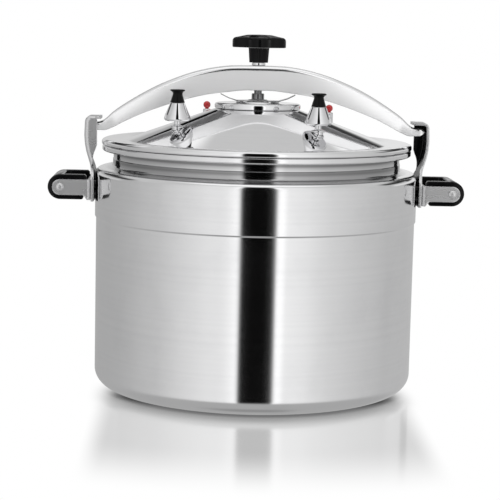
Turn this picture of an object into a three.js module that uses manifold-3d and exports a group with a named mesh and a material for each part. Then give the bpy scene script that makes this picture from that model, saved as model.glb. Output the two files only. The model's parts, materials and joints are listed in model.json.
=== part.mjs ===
// Bridge-clamp pressure canner: a turned aluminium pot, a domed lid held down by a bridge under
// two fixed hooks, a screw with a star knob, two weighted vents and two pressure indicators.
// Millimetres, +Z up, the bridge along X, the front towards -Y, the floor at z = 0.
import * as THREE from "three";
import Module from "manifold-3d";

const wasm = await Module();
wasm.setup();
const { Manifold, Mesh: SolidMesh } = wasm;

// General
const gap = 0.3; // clearance between any two pieces that touch
const round = 40; // facets of the large turned pieces
const small = 12; // facets of the small turned pieces

// Pot
const potRadius = 175; // outside of the lower wall
const bodyHeight = 240; // floor to the top of the shoulder
const neckHeight = 24; // shoulder to the parting line with the lid
const wall = 3;
const floorThickness = 5;
const heelRadius = 17.5; // fillet between the base and the wall
const bandDrop = 54.5; // the wider upper band starts this far below the shoulder's top
const bandStep = 1.3; // how far that band stands out of the lower wall
const shoulderRadius = 8.5;
const neckInset = 19.5; // from the upper band in to the neck
const beadWidth = 12.3; // from the neck out to the edge of the rim bead

// Lid
const lidBead = 6.45; // height of the lid's rim bead
const brimWidth = 12.8; // from the neck in to the foot of the cone
const brimDrop = 1.7; // the cone's foot lies this far under the bead's top
const coneRise = 36;
const crownRadius = 46;
const discRadius = 47;
const ringRadius = 23.2;

// Fittings on the cone: the vents in front, the indicators behind
const fittingInset = 43; // from the foot of the cone in to the fittings
const fittingTurn = 11.1; // the lid's fittings sit this many degrees off the bridge's own axes
const ventSpread = 48.4; // from the middle line to each vent, in degrees
const indicatorSpread = 44.2;
const bellRadius = 14.25;
const bellHeight = 19;
const capHeight = 13.9;
const postHeight = 8.2; // cone to the underside of the bell
const pinRise = 19.5; // cone to the middle of an indicator's ball
const pinBall = 4.15;

// Bridge and screw
const tongueRise = 23.3; // parting line to the top of the bridge's tongues
const tongueHeight = 8.5;
const tongueHalfWidth = 10.5;
const bridgeHalfWidth = 18;
const crownClearance = 20.4; // lid crown to the underside of the bridge at its middle
const bridgeDepth = 26.5; // height of the bridge at its middle
const channelWall = 4; // sheet of the bridge's channel
const screwRadius = 6.3;
const collarRadius = screwRadius + 1.1; // the thin collar under the knob
const knobRadius = 30;
const knobHeight = 30.5;

// Hooks, brackets and grips
const sheet = 3;
const tipGap = 2.4; // bridge tip to the inside of a hook
const lipGap = 3.7; // tongue to the underside of a hook's lip
const hookHalfWidth = 14;
const footHalfWidth = 31.5;
const flangeDepth = 14;
const gripHeight = 27;
const gripReach = 49.7; // from the upper band out to the end of a grip
const gripHalfWidth = 32.7;
const gripBar = 17; // thickness of the cross bar

// Derived levels and radii
const bandRadius = potRadius + bandStep;
const bandZ = bodyHeight - bandDrop;
const neckRadius = bandRadius - neckInset;
const rimRadius = neckRadius + beadWidth;
const partZ = bodyHeight + neckHeight; // the pot and the lid meet here
const potTop = partZ - gap / 2;
const lidFoot = partZ + gap / 2;
const brimRadius = neckRadius - brimWidth;
const brimZ = partZ + lidBead - brimDrop + gap / 2;
const crownZ = brimZ + coneRise;
const coneSlope = (crownZ - brimZ) / (brimRadius - crownRadius);
const coneZ = (r) => crownZ - coneSlope * (r - crownRadius); // the cone's outside
const fittingRadius = brimRadius - fittingInset;
const fittingZ = coneZ(fittingRadius);
const discTop = crownZ + 8;
const tongueTop = partZ + tongueRise;
const tongueFoot = tongueTop - tongueHeight;
const bridgeFoot = crownZ + crownClearance;
const bridgeTop = bridgeFoot + bridgeDepth;
const bridgeReach = bandRadius + 6.7;
const hookInner = bridgeReach + tipGap;
const lipFoot = tongueTop + lipGap;
const gripZ = bodyHeight - 21.9; // middle height of the grips
const gripTip = bandRadius + gripReach;
const boltX = gripTip - gripHeight / 2;
const plateHalfHeight = 8.4;
const collarHeight = 2.8;
const knobFoot = bridgeTop + collarHeight + 2 * gap;
const rivetShank = 2.2;

const looks = {
  polished: { color: 0xd6d7d9, metalness: 1, roughness: 0.14 },
  mirror: { color: 0xe2e3e5, metalness: 1, roughness: 0.04 },
  satin: { color: 0xc2c3c5, metalness: 1, roughness: 0.4 },
  steel: { color: 0x9b9c9e, metalness: 1, roughness: 0.42 },
  bakelite: { color: 0x0d0d0e, metalness: 0, roughness: 0.18 },
  blackPlastic: { color: 0x0a0a0a, metalness: 0, roughness: 0.5 },
  red: { color: 0xa80f12, metalness: 0, roughness: 0.15 },
  rubber: { color: 0x1b1b1c, metalness: 0, roughness: 0.8 },
};
const materials = Object.fromEntries(
  Object.entries(looks).map(([name, look]) => [name, new THREE.MeshStandardMaterial(look)]),
);

const canner = new THREE.Group();

function add(name, shape, look) {
  const geometry = shape.isBufferGeometry ? shape : toGeometry(shape);
  geometry.computeVertexNormals();
  const mesh = new THREE.Mesh(geometry, materials[look]);
  mesh.name = name;
  canner.add(mesh);
}

// A geometry's positions joined where they coincide, as a solid.
function toSolid(geometry) {
  const flat = geometry.index ? geometry.toNonIndexed() : geometry;
  const from = flat.getAttribute("position");
  const seen = new Map();
  const positions = [];
  const triangles = [];
  for (let i = 0; i < from.count; i += 3) {
    const corners = [0, 1, 2].map((k) => {
      const p = [from.getX(i + k), from.getY(i + k), from.getZ(i + k)];
      const key = p.map((v) => Math.round(v * 1e4)).join();
      if (!seen.has(key)) {
        seen.set(key, positions.length / 3);
        positions.push(...p);
      }
      return seen.get(key);
    });
    if (new Set(corners).size === 3) triangles.push(...corners);
  }
  return new Manifold(
    new SolidMesh({
      numProp: 3,
      vertProperties: new Float32Array(positions),
      triVerts: new Uint32Array(triangles),
    }),
  );
}

function toGeometry(solid) {
  const mesh = solid.getMesh();
  const positions = new Float32Array(mesh.numVert * 3);
  for (let i = 0; i < mesh.numVert; i++)
    positions.set(mesh.vertProperties.subarray(i * mesh.numProp, i * mesh.numProp + 3), i * 3);
  return new THREE.BufferGeometry()
    .setAttribute("position", new THREE.BufferAttribute(positions, 3))
    .setIndex(new THREE.BufferAttribute(new Uint32Array(mesh.triVerts), 1));
}

// A profile of [radius, z] points turned about Z; it runs anticlockwise in the r-z plane.
function turned(profile, segments = small) {
  const points = profile.map(([r, z]) => new THREE.Vector2(r, z));
  return new THREE.LatheGeometry(points, segments).rotateX(Math.PI / 2);
}

// The same, for a ring whose profile closes on itself.
function turnedRing(profile, segments = small) {
  return turned([...profile, profile[0]], segments);
}

// Points of an arc in the r-z plane, angles in degrees.
function arc(r, z, radius, from, to, steps) {
  return Array.from({ length: steps + 1 }, (_, i) => {
    const a = ((from + ((to - from) * i) / steps) * Math.PI) / 180;
    return [r + radius * Math.cos(a), z + radius * Math.sin(a)];
  });
}

function outline(points) {
  return new THREE.Shape(points.map(([a, b]) => new THREE.Vector2(a, b)));
}

// An outline of [x, z] points, thick along Y from one value to the other.
function plateXZ(points, yLow, yHigh) {
  return new THREE.ExtrudeGeometry(outline(points), { depth: yHigh - yLow, bevelEnabled: false })
    .rotateX(Math.PI / 2)
    .translate(0, yHigh, 0);
}

// An outline of [y, z] points, thick along X from one value to the other.
function plateYZ(points, xLow, xHigh) {
  return new THREE.ExtrudeGeometry(outline(points), { depth: xHigh - xLow, bevelEnabled: false })
    .rotateX(Math.PI / 2)
    .rotateZ(Math.PI / 2)
    .translate(xLow, 0, 0);
}

// An outline of [x, y] points, thick along Z from one value to the other.
function plateXY(points, zLow, zHigh) {
  return new THREE.ExtrudeGeometry(outline(points), { depth: zHigh - zLow, bevelEnabled: false })
    .translate(0, 0, zLow);
}

function rodX(radius, xLow, xHigh, y, z, segments = 12) {
  return new THREE.CylinderGeometry(radius, radius, xHigh - xLow, segments)
    .rotateZ(-Math.PI / 2)
    .translate((xLow + xHigh) / 2, y, z);
}

function rodY(radius, yLow, yHigh, x, z, segments = 12) {
  return new THREE.CylinderGeometry(radius, radius, yHigh - yLow, segments)
    .translate(x, (yLow + yHigh) / 2, z);
}

function rodZ(radius, zLow, zHigh, x = 0, y = 0, segments = small) {
  return new THREE.CylinderGeometry(radius, radius, zHigh - zLow, segments)
    .rotateX(Math.PI / 2)
    .translate(x, y, (zLow + zHigh) / 2);
}

const union = (...shapes) => Manifold.union(shapes.map(toSolid));
const cut = (shape, ...tools) => {
  const from = shape.isBufferGeometry ? toSolid(shape) : shape;
  return from.subtract(Manifold.union(tools.map(toSolid)));
};

// A skin through closed loops of points, each loop the same length, capped at both ends.
function skin(loops) {
  const count = loops[0].length;
  const positions = loops.flat(2);
  const index = [];
  for (let s = 0; s + 1 < loops.length; s++)
    for (let i = 0; i < count; i++) {
      const a = s * count + i;
      const b = s * count + ((i + 1) % count);
      index.push(a, b, b + count, a, b + count, a + count);
    }
  const last = (loops.length - 1) * count;
  const middle = (loop) => loop.reduce((m, p) => m.map((v, k) => v + p[k] / count), [0, 0, 0]);
  positions.push(...middle(loops[0]), ...middle(loops.at(-1)));
  const low = loops.length * count;
  for (let i = 0; i < count; i++) {
    const j = (i + 1) % count;
    index.push(low, j, i, low + 1, last + i, last + j);
  }
  return new THREE.BufferGeometry()
    .setAttribute("position", new THREE.Float32BufferAttribute(positions, 3))
    .setIndex(index);
}

// Both outlines of a strip of sheet whose middle follows a path of [x, z] points.
function strip(path, thickness) {
  const side = (sign) =>
    path.map(([x, z], i) => {
      const [x0, z0] = path[Math.max(i - 1, 0)];
      const [x1, z1] = path[Math.min(i + 1, path.length - 1)];
      const length = Math.hypot(x1 - x0, z1 - z0);
      const half = (sign * thickness) / 2;
      return [x + (half * (z1 - z0)) / length, z - (half * (x1 - x0)) / length];
    });
  return { outer: side(1), inner: side(-1) };
}

// Where the rivets go through a bracket, a hook's foot and the pot's wall.
const rivetSpread = 13;
const rivetPlaces = [-1, 1].flatMap((y) =>
  [-1, 1].map((z) => [rivetSpread * y, gripZ - 1.5 + 5.5 * z]),
);

const sides = [
  ["right", 0],
  ["left", Math.PI],
];
const polar = (degrees) => {
  const a = (degrees * Math.PI) / 180;
  return [fittingRadius * Math.cos(a), fittingRadius * Math.sin(a)];
};
const ventPlaces = [
  ["left", ...polar(270 - fittingTurn - ventSpread)],
  ["right", ...polar(270 - fittingTurn + ventSpread)],
];
const indicatorPlaces = [
  ["left", ...polar(90 - fittingTurn + indicatorSpread)],
  ["right", ...polar(90 - fittingTurn - indicatorSpread)],
];

function potBody() {
  const bandTop = bodyHeight - 11;
  const shell = turned(
    [
      [0, 0],
      ...arc(potRadius - heelRadius, heelRadius, heelRadius, -90, 0, 5),
      [potRadius, bandZ - 0.9],
      [bandRadius, bandZ + 0.9],
      ...arc(bandRadius - shoulderRadius, bandTop, shoulderRadius, 0, 65, 3),
      [neckRadius + 7, bodyHeight - 0.9],
      [neckRadius + 1.2, bodyHeight + 0.5],
      [neckRadius + 0.4, bodyHeight + 1.6],
      [neckRadius + 0.4, bodyHeight + 8.6],
      [neckRadius - 0.2, bodyHeight + 9.4],
      [neckRadius - 0.2, potTop - 7.4],
      [neckRadius + 0.8, potTop - 6.4],
      [rimRadius - 1.8, potTop - 6.4],
      [rimRadius - 0.3, potTop - 5],
      [rimRadius - 0.3, potTop - 1.4],
      [rimRadius - 1.6, potTop],
      [neckRadius - wall, potTop],
      [neckRadius - wall, bodyHeight + 1],
      [neckRadius + 5.4, bodyHeight - 3.9],
      ...arc(bandRadius - shoulderRadius, bandTop, shoulderRadius - wall, 65, 0, 2),
      [bandRadius - wall, bandZ + 0.9],
      [potRadius - wall, bandZ - 0.9],
      ...arc(
        potRadius - heelRadius,
        heelRadius + floorThickness - wall,
        heelRadius - wall,
        0,
        -90,
        3,
      ),
      [0, floorThickness],
    ],
    round,
  );
  const holes = rivetPlaces.flatMap(([y, z]) => [
    rodX(rivetShank + gap, bandRadius - 12, bandRadius + 4, y, z),
    rodX(rivetShank + gap, -bandRadius - 4, -bandRadius + 12, y, z),
  ]);
  add("pot_body", cut(shell, ...holes), "polished");
}

const lipInner = neckRadius - wall - 4;
const lipOuter = neckRadius - wall - 0.8;
const channelOuter = rimRadius - 3.7;
const channelTop = lidFoot + 3.75;

function lidShell() {
  const shell = turned(
    [
      [0, crownZ + 1.1 - wall],
      [crownRadius - 3.6, crownZ + 1 - wall],
      [brimRadius - 1, brimZ - wall],
      [lipInner, brimZ - 4.6],
      [lipInner, lidFoot - 2.6],
      [lipOuter, lidFoot - 2.6],
      [lipOuter, channelTop],
      [channelOuter, channelTop],
      [channelOuter, lidFoot],
      [rimRadius - 1, lidFoot],
      [rimRadius + 0.4, lidFoot + 1.6],
      [rimRadius + 0.4, lidFoot + lidBead - 3.2],
      [rimRadius - 1.4, lidFoot + lidBead - 1.1],
      [rimRadius - 4.5, lidFoot + lidBead - 0.2],
      [rimRadius - 11, lidFoot + lidBead],
      [brimRadius + 5, brimZ + 0.5],
      [brimRadius, brimZ],
      [crownRadius, crownZ],
      [crownRadius - 3, crownZ + 0.6],
      [crownRadius - 4, crownZ + 1.1],
      [0, crownZ + 1.1],
    ],
    round,
  );
  const holes = [...ventPlaces, ...indicatorPlaces].map(([, x, y]) =>
    rodZ(ventShank + gap, fittingZ - 15, fittingZ + 15, x, y),
  );
  add("lid_shell", cut(shell, ...holes), "mirror");
}

function lidGasket() {
  const profile = [
    [lipOuter + 0.4, lidFoot],
    [channelOuter - 0.4, lidFoot],
    [channelOuter - 0.4, channelTop - gap],
    [lipOuter + 0.4, channelTop - gap],
  ];
  add("lid_gasket", turnedRing(profile, round), "rubber");
}

function lidDisc() {
  const foot = crownZ + 1.4;
  const profile = [
    [0, foot],
    [crownRadius - 2.6, foot],
    [discRadius - 2.2, crownZ + 0.5],
    [discRadius - 0.7, crownZ + 0.4],
    [discRadius, crownZ + 1.4],
    [discRadius, crownZ + 4.3],
    [discRadius - 0.9, crownZ + 5.9],
    [discRadius - 2.6, crownZ + 6.4],
    [ringRadius + 0.8, discTop - 1.3],
    [ringRadius, discTop - 0.5],
    [ringRadius - 0.8, discTop - 0.1],
    [ringRadius - 2.6, discTop - 0.5],
    [ringRadius - 4.4, discTop - 0.9],
    [12, discTop - 0.9],
    [11, discTop],
    [0, discTop],
  ];
  add("lid_disc", turned(profile, 32), "mirror");
}

const footFlange = 10.3;
const springHole = footFlange + 0.9;

// A thin strip lying on the disc's ring, its ends sprung up to just under the bridge.
function leafSpring() {
  const level = discTop + gap + 0.5;
  const rise = bridgeFoot - discTop - 5.4;
  const half = [
    [0, 0],
    [ringRadius, 0],
    [ringRadius + 4, 0.1 * rise],
    [ringRadius + 9.5, 0.4 * rise],
    [ringRadius + 17.5, rise],
  ];
  const path = [...half.slice(1).reverse().map(([x, z]) => [-x, z]), ...half].map(([x, z]) => [
    x,
    level + z,
  ]);
  const { outer, inner } = strip(path, 0.9);
  const reach = ringRadius + 20;
  const bent = plateXZ([...outer, ...inner.reverse()], -20, 20);
  const plan = plateXY(
    [
      [-reach, -5.5],
      [-22, -8],
      [-9, -15],
      [9, -15],
      [22, -8],
      [reach, -5.5],
      [reach, 5.5],
      [22, 8],
      [9, 15],
      [-9, 15],
      [-22, 8],
      [-reach, 5.5],
    ],
    level - 10,
    level + 2 * rise,
  );
  const hole = rodZ(springHole, level - 5, level + 5);
  add("leaf_spring", toSolid(bent).intersect(toSolid(plan)).subtract(toSolid(hole)), "satin");
}

// Outlines of the bridge as [share of its reach, share of the rise from tongue to middle].
const bridgeUpper = [
  [0, 1],
  [0.08, 1],
  [0.18, 0.988],
  [0.3, 0.934],
  [0.42, 0.842],
  [0.535, 0.716],
  [0.61, 0.619],
  [0.7, 0.479],
  [0.79, 0.32],
  [0.86, 0.18],
  [0.905, 0.06],
  [0.93, 0.016],
  [0.955, 0],
  [0.98, 0],
  [1, -0.03],
];
const bridgeLower = [
  [0, 1],
  [0.08, 1],
  [0.18, 0.956],
  [0.3, 0.888],
  [0.42, 0.774],
  [0.535, 0.632],
  [0.61, 0.526],
  [0.7, 0.386],
  [0.79, 0.216],
  [0.86, 0.07],
  [0.905, 0],
  [0.93, 0],
  [0.955, 0],
  [0.98, 0.01],
  [1, 0.07],
];

// A pressed channel, open underneath, solid at its tongues and round the bush.
function bridge() {
  const section = (i, sign, inset, foot) => {
    const [share, top] = bridgeUpper[i];
    const x = sign * share * bridgeReach;
    const zHigh = tongueTop + top * (bridgeTop - tongueTop) - inset;
    const zLow = tongueFoot + bridgeLower[i][1] * (bridgeFoot - tongueFoot) - foot;
    const ease = Math.min(1, share / 0.86) ** 2;
    let half = bridgeHalfWidth + (tongueHalfWidth - bridgeHalfWidth) * ease - inset;
    if (i === bridgeUpper.length - 1) half -= 1.5;
    const edge = 3.2 - 1.4 * ease;
    const lowEdge = 1.2;
    const loop = [
      [-half, zLow + lowEdge],
      [-half + lowEdge, zLow],
      [half - lowEdge, zLow],
      [half, zLow + lowEdge],
      [half, zHigh - edge],
      [half - 0.3 * edge, zHigh - 0.3 * edge],
      [half - edge, zHigh],
      [-half + edge, zHigh],
      [-half + 0.3 * edge, zHigh - 0.3 * edge],
      [-half, zHigh - edge],
    ];
    return loop.map(([y, z]) => [x, y, z]);
  };
  const last = bridgeUpper.length - 1;
  const along = [
    ...Array.from({ length: last }, (_, i) => [last - i, -1]),
    ...bridgeUpper.map((_, i) => [i, 1]),
  ];
  const bar = skin(along.map(([i, sign]) => section(i, sign, 0, 0)));
  const hollows = [-1, 1].map((sign) => {
    const stations = [1, 2, 3, 4, 5, 6, 7, 8, 9].map((i) => section(i, sign, channelWall, 8));
    return skin(sign > 0 ? stations : stations.reverse());
  });
  const hole = rodZ(bushRadius + gap, bridgeFoot - 5, bridgeTop + 5);
  add("bridge", cut(bar, ...hollows, hole), "satin");
}

const bushRadius = 10;
const screwBore = screwRadius + gap;

function bridgeBush() {
  const profile = [
    [screwBore, bridgeFoot + 0.6],
    [bushRadius, bridgeFoot + 0.6],
    [bushRadius, bridgeTop - 0.6],
    [screwBore, bridgeTop - 0.6],
  ];
  add("bridge_bush", turnedRing(profile), "steel");
}

const footZ = discTop + gap;
const neckOfScrew = 4.2;
const knobBoreTop = knobFoot + 18;

function pressureFoot() {
  const profile = [
    [0, footZ],
    [footFlange, footZ],
    [footFlange, footZ + 1.8],
    [6.8, footZ + 1.8],
    [6.8, footZ + 8.1],
    [6.3, footZ + 8.6],
    [neckOfScrew + gap, footZ + 8.6],
    [neckOfScrew + gap, footZ + 4],
    [0, footZ + 4],
  ];
  add("pressure_foot", turned(profile), "steel");
}

function clampScrew() {
  const profile = [
    [0, footZ + 4.3],
    [neckOfScrew - 1, footZ + 4.3],
    [neckOfScrew, footZ + 5.3],
    [neckOfScrew, bridgeFoot + 0.9],
    [screwRadius, bridgeFoot + 3],
    [screwRadius, knobBoreTop - 1.6],
    [screwRadius - 1.2, knobBoreTop - gap],
    [0, knobBoreTop - gap],
  ];
  add("clamp_screw", turned(profile), "steel");
}

function screwCollar() {
  const profile = [
    [screwBore, bridgeTop + gap],
    [collarRadius - 0.2, bridgeTop + gap],
    [collarRadius, bridgeTop + gap + 0.5],
    [collarRadius, knobFoot - gap - 0.5],
    [collarRadius - 0.3, knobFoot - gap],
    [screwBore, knobFoot - gap],
  ];
  add("screw_collar", turnedRing(profile), "mirror");
}

function knob() {
  const lobes = 5;
  const steps = 40;
  const headFoot = knobFoot + 16.3;
  const headTop = knobFoot + knobHeight;
  const scallop = 0.11 * knobRadius;
  const layer = (scale, z, depth) =>
    Array.from({ length: steps }, (_, i) => {
      const a = (2 * Math.PI * i) / steps;
      const r = knobRadius - scallop + scallop * depth * Math.cos(lobes * (a + Math.PI / 2));
      return [scale * r * Math.cos(a), scale * r * Math.sin(a), z];
    });
  const head = skin([
    layer(0.97, headFoot, 1),
    layer(1, headFoot + 0.8, 1),
    layer(1, headTop - 5.6, 1),
    layer(0.96, headTop - 3.8, 0.9),
    layer(0.84, headTop - 2.2, 0.6),
    layer(0.55, headTop - 0.7, 0.3),
    layer(0.2, headTop, 0),
  ]);
  const hub = turned([
    [0, knobFoot],
    [10.2, knobFoot],
    [10.7, knobFoot + 0.6],
    [11.3, headFoot + 3],
    [0, headFoot + 3],
  ]);
  const bore = rodZ(screwBore, knobFoot - 1, knobBoreTop);
  const flutes = Array.from({ length: lobes }, (_, i) => {
    const a = (2 * Math.PI * i) / lobes - Math.PI / 2;
    return rodZ(1.1, knobFoot - 1, headFoot - 0.6, 11.3 * Math.cos(a), 11.3 * Math.sin(a), 8);
  });
  add("knob", cut(union(head, hub), bore, ...flutes), "bakelite");
}

const ventShank = 4.2;
const bellFoot = fittingZ + postHeight;
const bellTop = bellFoot + bellHeight;
const ventBore = 1.5;
const needleZ = bellFoot + 7;
const sealRadius = 6.2;
const lidUnder = coneZ(fittingRadius + sealRadius) - wall - 0.8; // clear of the sloping underside
const sealHeight = 1.6;

function hexagon(acrossFlats, zLow, zHigh) {
  const radius = acrossFlats / Math.sqrt(3);
  const points = Array.from({ length: 6 }, (_, i) => {
    const a = ((i + 0.5) * Math.PI) / 3;
    return [radius * Math.cos(a), radius * Math.sin(a)];
  });
  return plateXY(points, zLow, zHigh);
}

// What a fitting's flange is cut back to, so that it follows the cone a gap above it.
function coneBody() {
  const lift = gap + 0.15;
  return turned(
    [
      [0, crownZ - 50],
      [brimRadius, crownZ - 50],
      [brimRadius, brimZ + lift],
      [crownRadius, crownZ + lift],
      [0, crownZ + lift],
    ],
    round,
  );
}

function vents() {
  for (const [side, x, y] of ventPlaces) {
    const at = (shape) =>
      (shape.isBufferGeometry ? shape : toGeometry(shape)).translate(x, y, 0);
    const flangeTop = fittingZ + 3.3;
    const flange = cut(
      toGeometry(
        union(rodZ(7.7, flangeTop - 2.2, flangeTop), rodZ(5.6, fittingZ - 4, flangeTop - 1)),
      ).translate(x, y, 0),
      coneBody(),
    );
    const stem = turned([
      [0, lidUnder - 9.5],
      [ventShank, lidUnder - 9.5],
      [ventShank, flangeTop - 1],
      [3.35, flangeTop + 0.2],
      [3.35, needleZ - 2],
      [2.2, needleZ - gap],
      [0, needleZ - gap],
    ]);
    const bore = rodZ(ventBore, lidUnder - 12, needleZ + 2, 0, 0, 12);
    const post = flange.add(toSolid(stem.translate(x, y, 0)));
    add(`vent_post_${side}`, post.subtract(toSolid(bore.translate(x, y, 0))), "mirror");
    add(
      `vent_seal_${side}`,
      at(
        turnedRing([
          [ventShank + gap, lidUnder - gap - sealHeight],
          [sealRadius, lidUnder - gap - sealHeight],
          [sealRadius, lidUnder - gap],
          [ventShank + gap, lidUnder - gap],
        ]),
      ),
      "rubber",
    );
    const nutTop = lidUnder - 2 * gap - sealHeight;
    const nutHole = rodZ(ventShank + gap, nutTop - 9, nutTop + 2);
    add(`vent_nut_${side}`, at(cut(hexagon(11.6, nutTop - 5, nutTop), nutHole)), "steel");
    add(
      `weight_needle_${side}`,
      at(
        turned([
          [0, needleZ - 9],
          [0.6, needleZ - 8.4],
          [ventBore - gap, needleZ - 3],
          [ventBore - gap, needleZ],
          [3, needleZ],
          [3, needleZ + 1.8],
          [0, needleZ + 1.8],
        ]),
      ),
      "steel",
    );
    add(
      `weight_bell_${side}`,
      at(
        turned(
          [
            [0, needleZ + 1.8 + gap],
            [4.1, needleZ + 1.8 + gap],
            [4.1, bellFoot],
            [bellRadius - 1.7, bellFoot],
            [bellRadius - 0.5, bellFoot + 0.8],
            [bellRadius, bellFoot + 2.2],
            [bellRadius - 0.2, bellFoot + 4],
            [bellRadius - 1.1, bellFoot + 6.4],
            [7.8, bellTop],
            [0, bellTop],
          ],
          20,
        ),
      ),
      "mirror",
    );
    const capFoot = bellTop + gap;
    add(
      `weight_cap_${side}`,
      at(
        turned(
          [
            [0, capFoot],
            [7.8, capFoot],
            [7.6, capFoot + 0.9],
            [5.1, capFoot + 0.62 * capHeight],
            [4.9, capFoot + 0.72 * capHeight],
            [5.5, capFoot + 0.82 * capHeight],
            [7.9, capFoot + 0.9 * capHeight],
            [7.9, capFoot + 0.96 * capHeight],
            [7.3, capFoot + capHeight],
            [0, capFoot + capHeight],
          ],
          16,
        ),
      ),
      "blackPlastic",
    );
  }
}

function indicators() {
  const ballZ = fittingZ + pinRise;
  const pinRadius = 2;
  for (const [side, x, y] of indicatorPlaces) {
    const at = (shape) =>
      (shape.isBufferGeometry ? shape : toGeometry(shape)).translate(x, y, 0);
    const bodyTop = ballZ - pinBall - 0.4;
    const foot = cut(
      toGeometry(
        union(rodZ(5.8, fittingZ - 4, fittingZ + 3.6), rodZ(4.5, fittingZ, bodyTop - 0.8)),
      ).translate(x, y, 0),
      coneBody(),
    );
    const barrel = turned([
      [0, lidUnder - 8],
      [ventShank, lidUnder - 8],
      [ventShank, bodyTop - 0.6],
      [3.6, bodyTop],
      [0, bodyTop],
    ]);
    const bore = rodZ(pinRadius + gap, lidUnder - 12, bodyTop + 2, 0, 0, 16);
    const housing = foot.add(toSolid(barrel.translate(x, y, 0)));
    add(
      `indicator_housing_${side}`,
      housing.subtract(toSolid(bore.translate(x, y, 0))),
      "mirror",
    );
    add(
      `indicator_seal_${side}`,
      at(
        turnedRing([
          [ventShank + gap, lidUnder - gap - sealHeight],
          [sealRadius, lidUnder - gap - sealHeight],
          [sealRadius, lidUnder - gap],
          [ventShank + gap, lidUnder - gap],
        ]),
      ),
      "rubber",
    );
    const nutTop = lidUnder - 2 * gap - sealHeight;
    const nutHole = rodZ(ventShank + gap, nutTop - 9, nutTop + 2);
    add(`indicator_nut_${side}`, at(cut(hexagon(11.6, nutTop - 4, nutTop), nutHole)), "steel");
    const start = (Math.asin(pinRadius / pinBall) * 180) / Math.PI - 90;
    add(
      `indicator_pin_${side}`,
      at(
        turned([
          [0, lidUnder - 6],
          [pinRadius, lidUnder - 6],
          ...arc(0, ballZ, pinBall, start, 84, 8),
          [0, ballZ + pinBall],
        ]),
      ),
      "red",
    );
  }
}

const webInner = bandRadius + sheet + 2 * gap; // inside face of a bracket's web
const webOuter = webInner + sheet;
const plateInner = gripHalfWidth + gap;
const plateOuter = plateInner + sheet;

// Path of a hook's sheet, from its foot on the pot up and over the bridge's tongue.
function hookPath() {
  const foot = bandRadius + gap + sheet / 2;
  const web = hookInner + sheet / 2;
  const lean = web - foot;
  const lip = lipFoot + sheet / 2;
  const bend = 7;
  const rise = lip - bend - (bodyHeight - 10);
  const at = (z) => bodyHeight - 10 + z * rise;
  return [
    [foot, gripZ - 15.5],
    [foot, at(0)],
    [foot + 0.17 * lean, at(0.17)],
    [foot + 0.46 * lean, at(0.31)],
    [foot + 0.74 * lean, at(0.46)],
    [foot + 0.92 * lean, at(0.61)],
    [web, at(0.77)],
    [web - 0.4, at(0.92)],
    ...arc(web - 0.7 - bend, lip - bend, bend, 10, 90, 4),
    [web - 16.6, lip],
  ];
}

function hooks() {
  const path = hookPath();
  const { outer, inner } = strip(path, sheet);
  const top = lipFoot + sheet + 5;
  const flareTop = bodyHeight + 8;
  const flareFoot = bodyHeight - 10.5;
  const silhouette = plateYZ(
    [
      [-footHalfWidth, gripZ - 30],
      [footHalfWidth, gripZ - 30],
      [footHalfWidth, flareFoot],
      [hookHalfWidth + 2, flareTop - 2],
      [hookHalfWidth, flareTop + 4],
      [hookHalfWidth, top],
      [-hookHalfWidth, top],
      [-hookHalfWidth, flareTop + 4],
      [-hookHalfWidth - 2, flareTop - 2],
      [-footHalfWidth, flareFoot],
    ],
    bandRadius - 40,
    bandRadius + 40,
  );
  const band = plateXZ([...outer, ...[...inner].reverse()], -footHalfWidth - 1, footHalfWidth + 1);
  const edge = hookInner + sheet - flangeDepth;
  const flange = plateXZ(
    [
      ...outer.slice(4, -1),
      [edge + 1, lipFoot + sheet],
      [edge, lipFoot + sheet - 1.2],
      [edge, bodyHeight + 17],
      [edge + 2, bodyHeight + 10],
    ],
    hookHalfWidth - sheet,
    hookHalfWidth,
  );
  const holes = rivetPlaces.map(([y, z]) =>
    rodX(rivetShank + gap, bandRadius - 5, bandRadius + 8, y, z),
  );
  const hook = toSolid(band)
    .intersect(toSolid(silhouette))
    .add(toSolid(flange))
    .subtract(Manifold.union(holes.map(toSolid)));
  for (const [side, turn] of sides)
    add(`hook_${side}`, toGeometry(hook).rotateZ(turn), "steel");
}

// The side of a bracket's plate: straight edges out to a round end about the grip's bolt.
function stadium(xInner, half, footInner = xInner) {
  return [
    [footInner, gripZ - half],
    ...arc(boltX, gripZ, half, -90, 90, 10),
    [xInner, gripZ + half],
  ];
}

function brackets() {
  const solid = plateXY(
    [
      [webInner, -plateOuter + 2.4],
      [webInner + 2.4, -plateOuter],
      [gripTip, -plateOuter],
      [gripTip, -plateInner],
      [webOuter, -plateInner],
      [webOuter, plateInner],
      [gripTip, plateInner],
      [gripTip, plateOuter],
      [webInner + 2.4, plateOuter],
      [webInner, plateOuter - 2.4],
    ],
    gripZ - 20,
    gripZ + 20,
  );
  const side = plateXZ(
    [
      [webInner - 1, gripZ - 13.6],
      [webOuter, gripZ - 13.6],
      [webOuter + 1.4, gripZ - 9.8],
      ...stadium(webInner - 1, plateHalfHeight, webOuter + 4.4),
    ],
    -plateOuter - 1,
    plateOuter + 1,
  );
  const tools = [
    rodY(boltShank + gap, -plateOuter - 1, plateOuter + 1, boltX, gripZ),
    ...rivetPlaces.map(([y, z]) => rodX(rivetShank + gap, webInner - 1, webOuter + 1, y, z)),
  ];
  const bracket = toSolid(solid)
    .intersect(toSolid(side))
    .subtract(Manifold.union(tools.map(toSolid)));
  for (const [name, turn] of sides)
    add(`handle_bracket_${name}`, toGeometry(bracket).rotateZ(turn), "steel");
}

const boltShank = 2.5;

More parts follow.
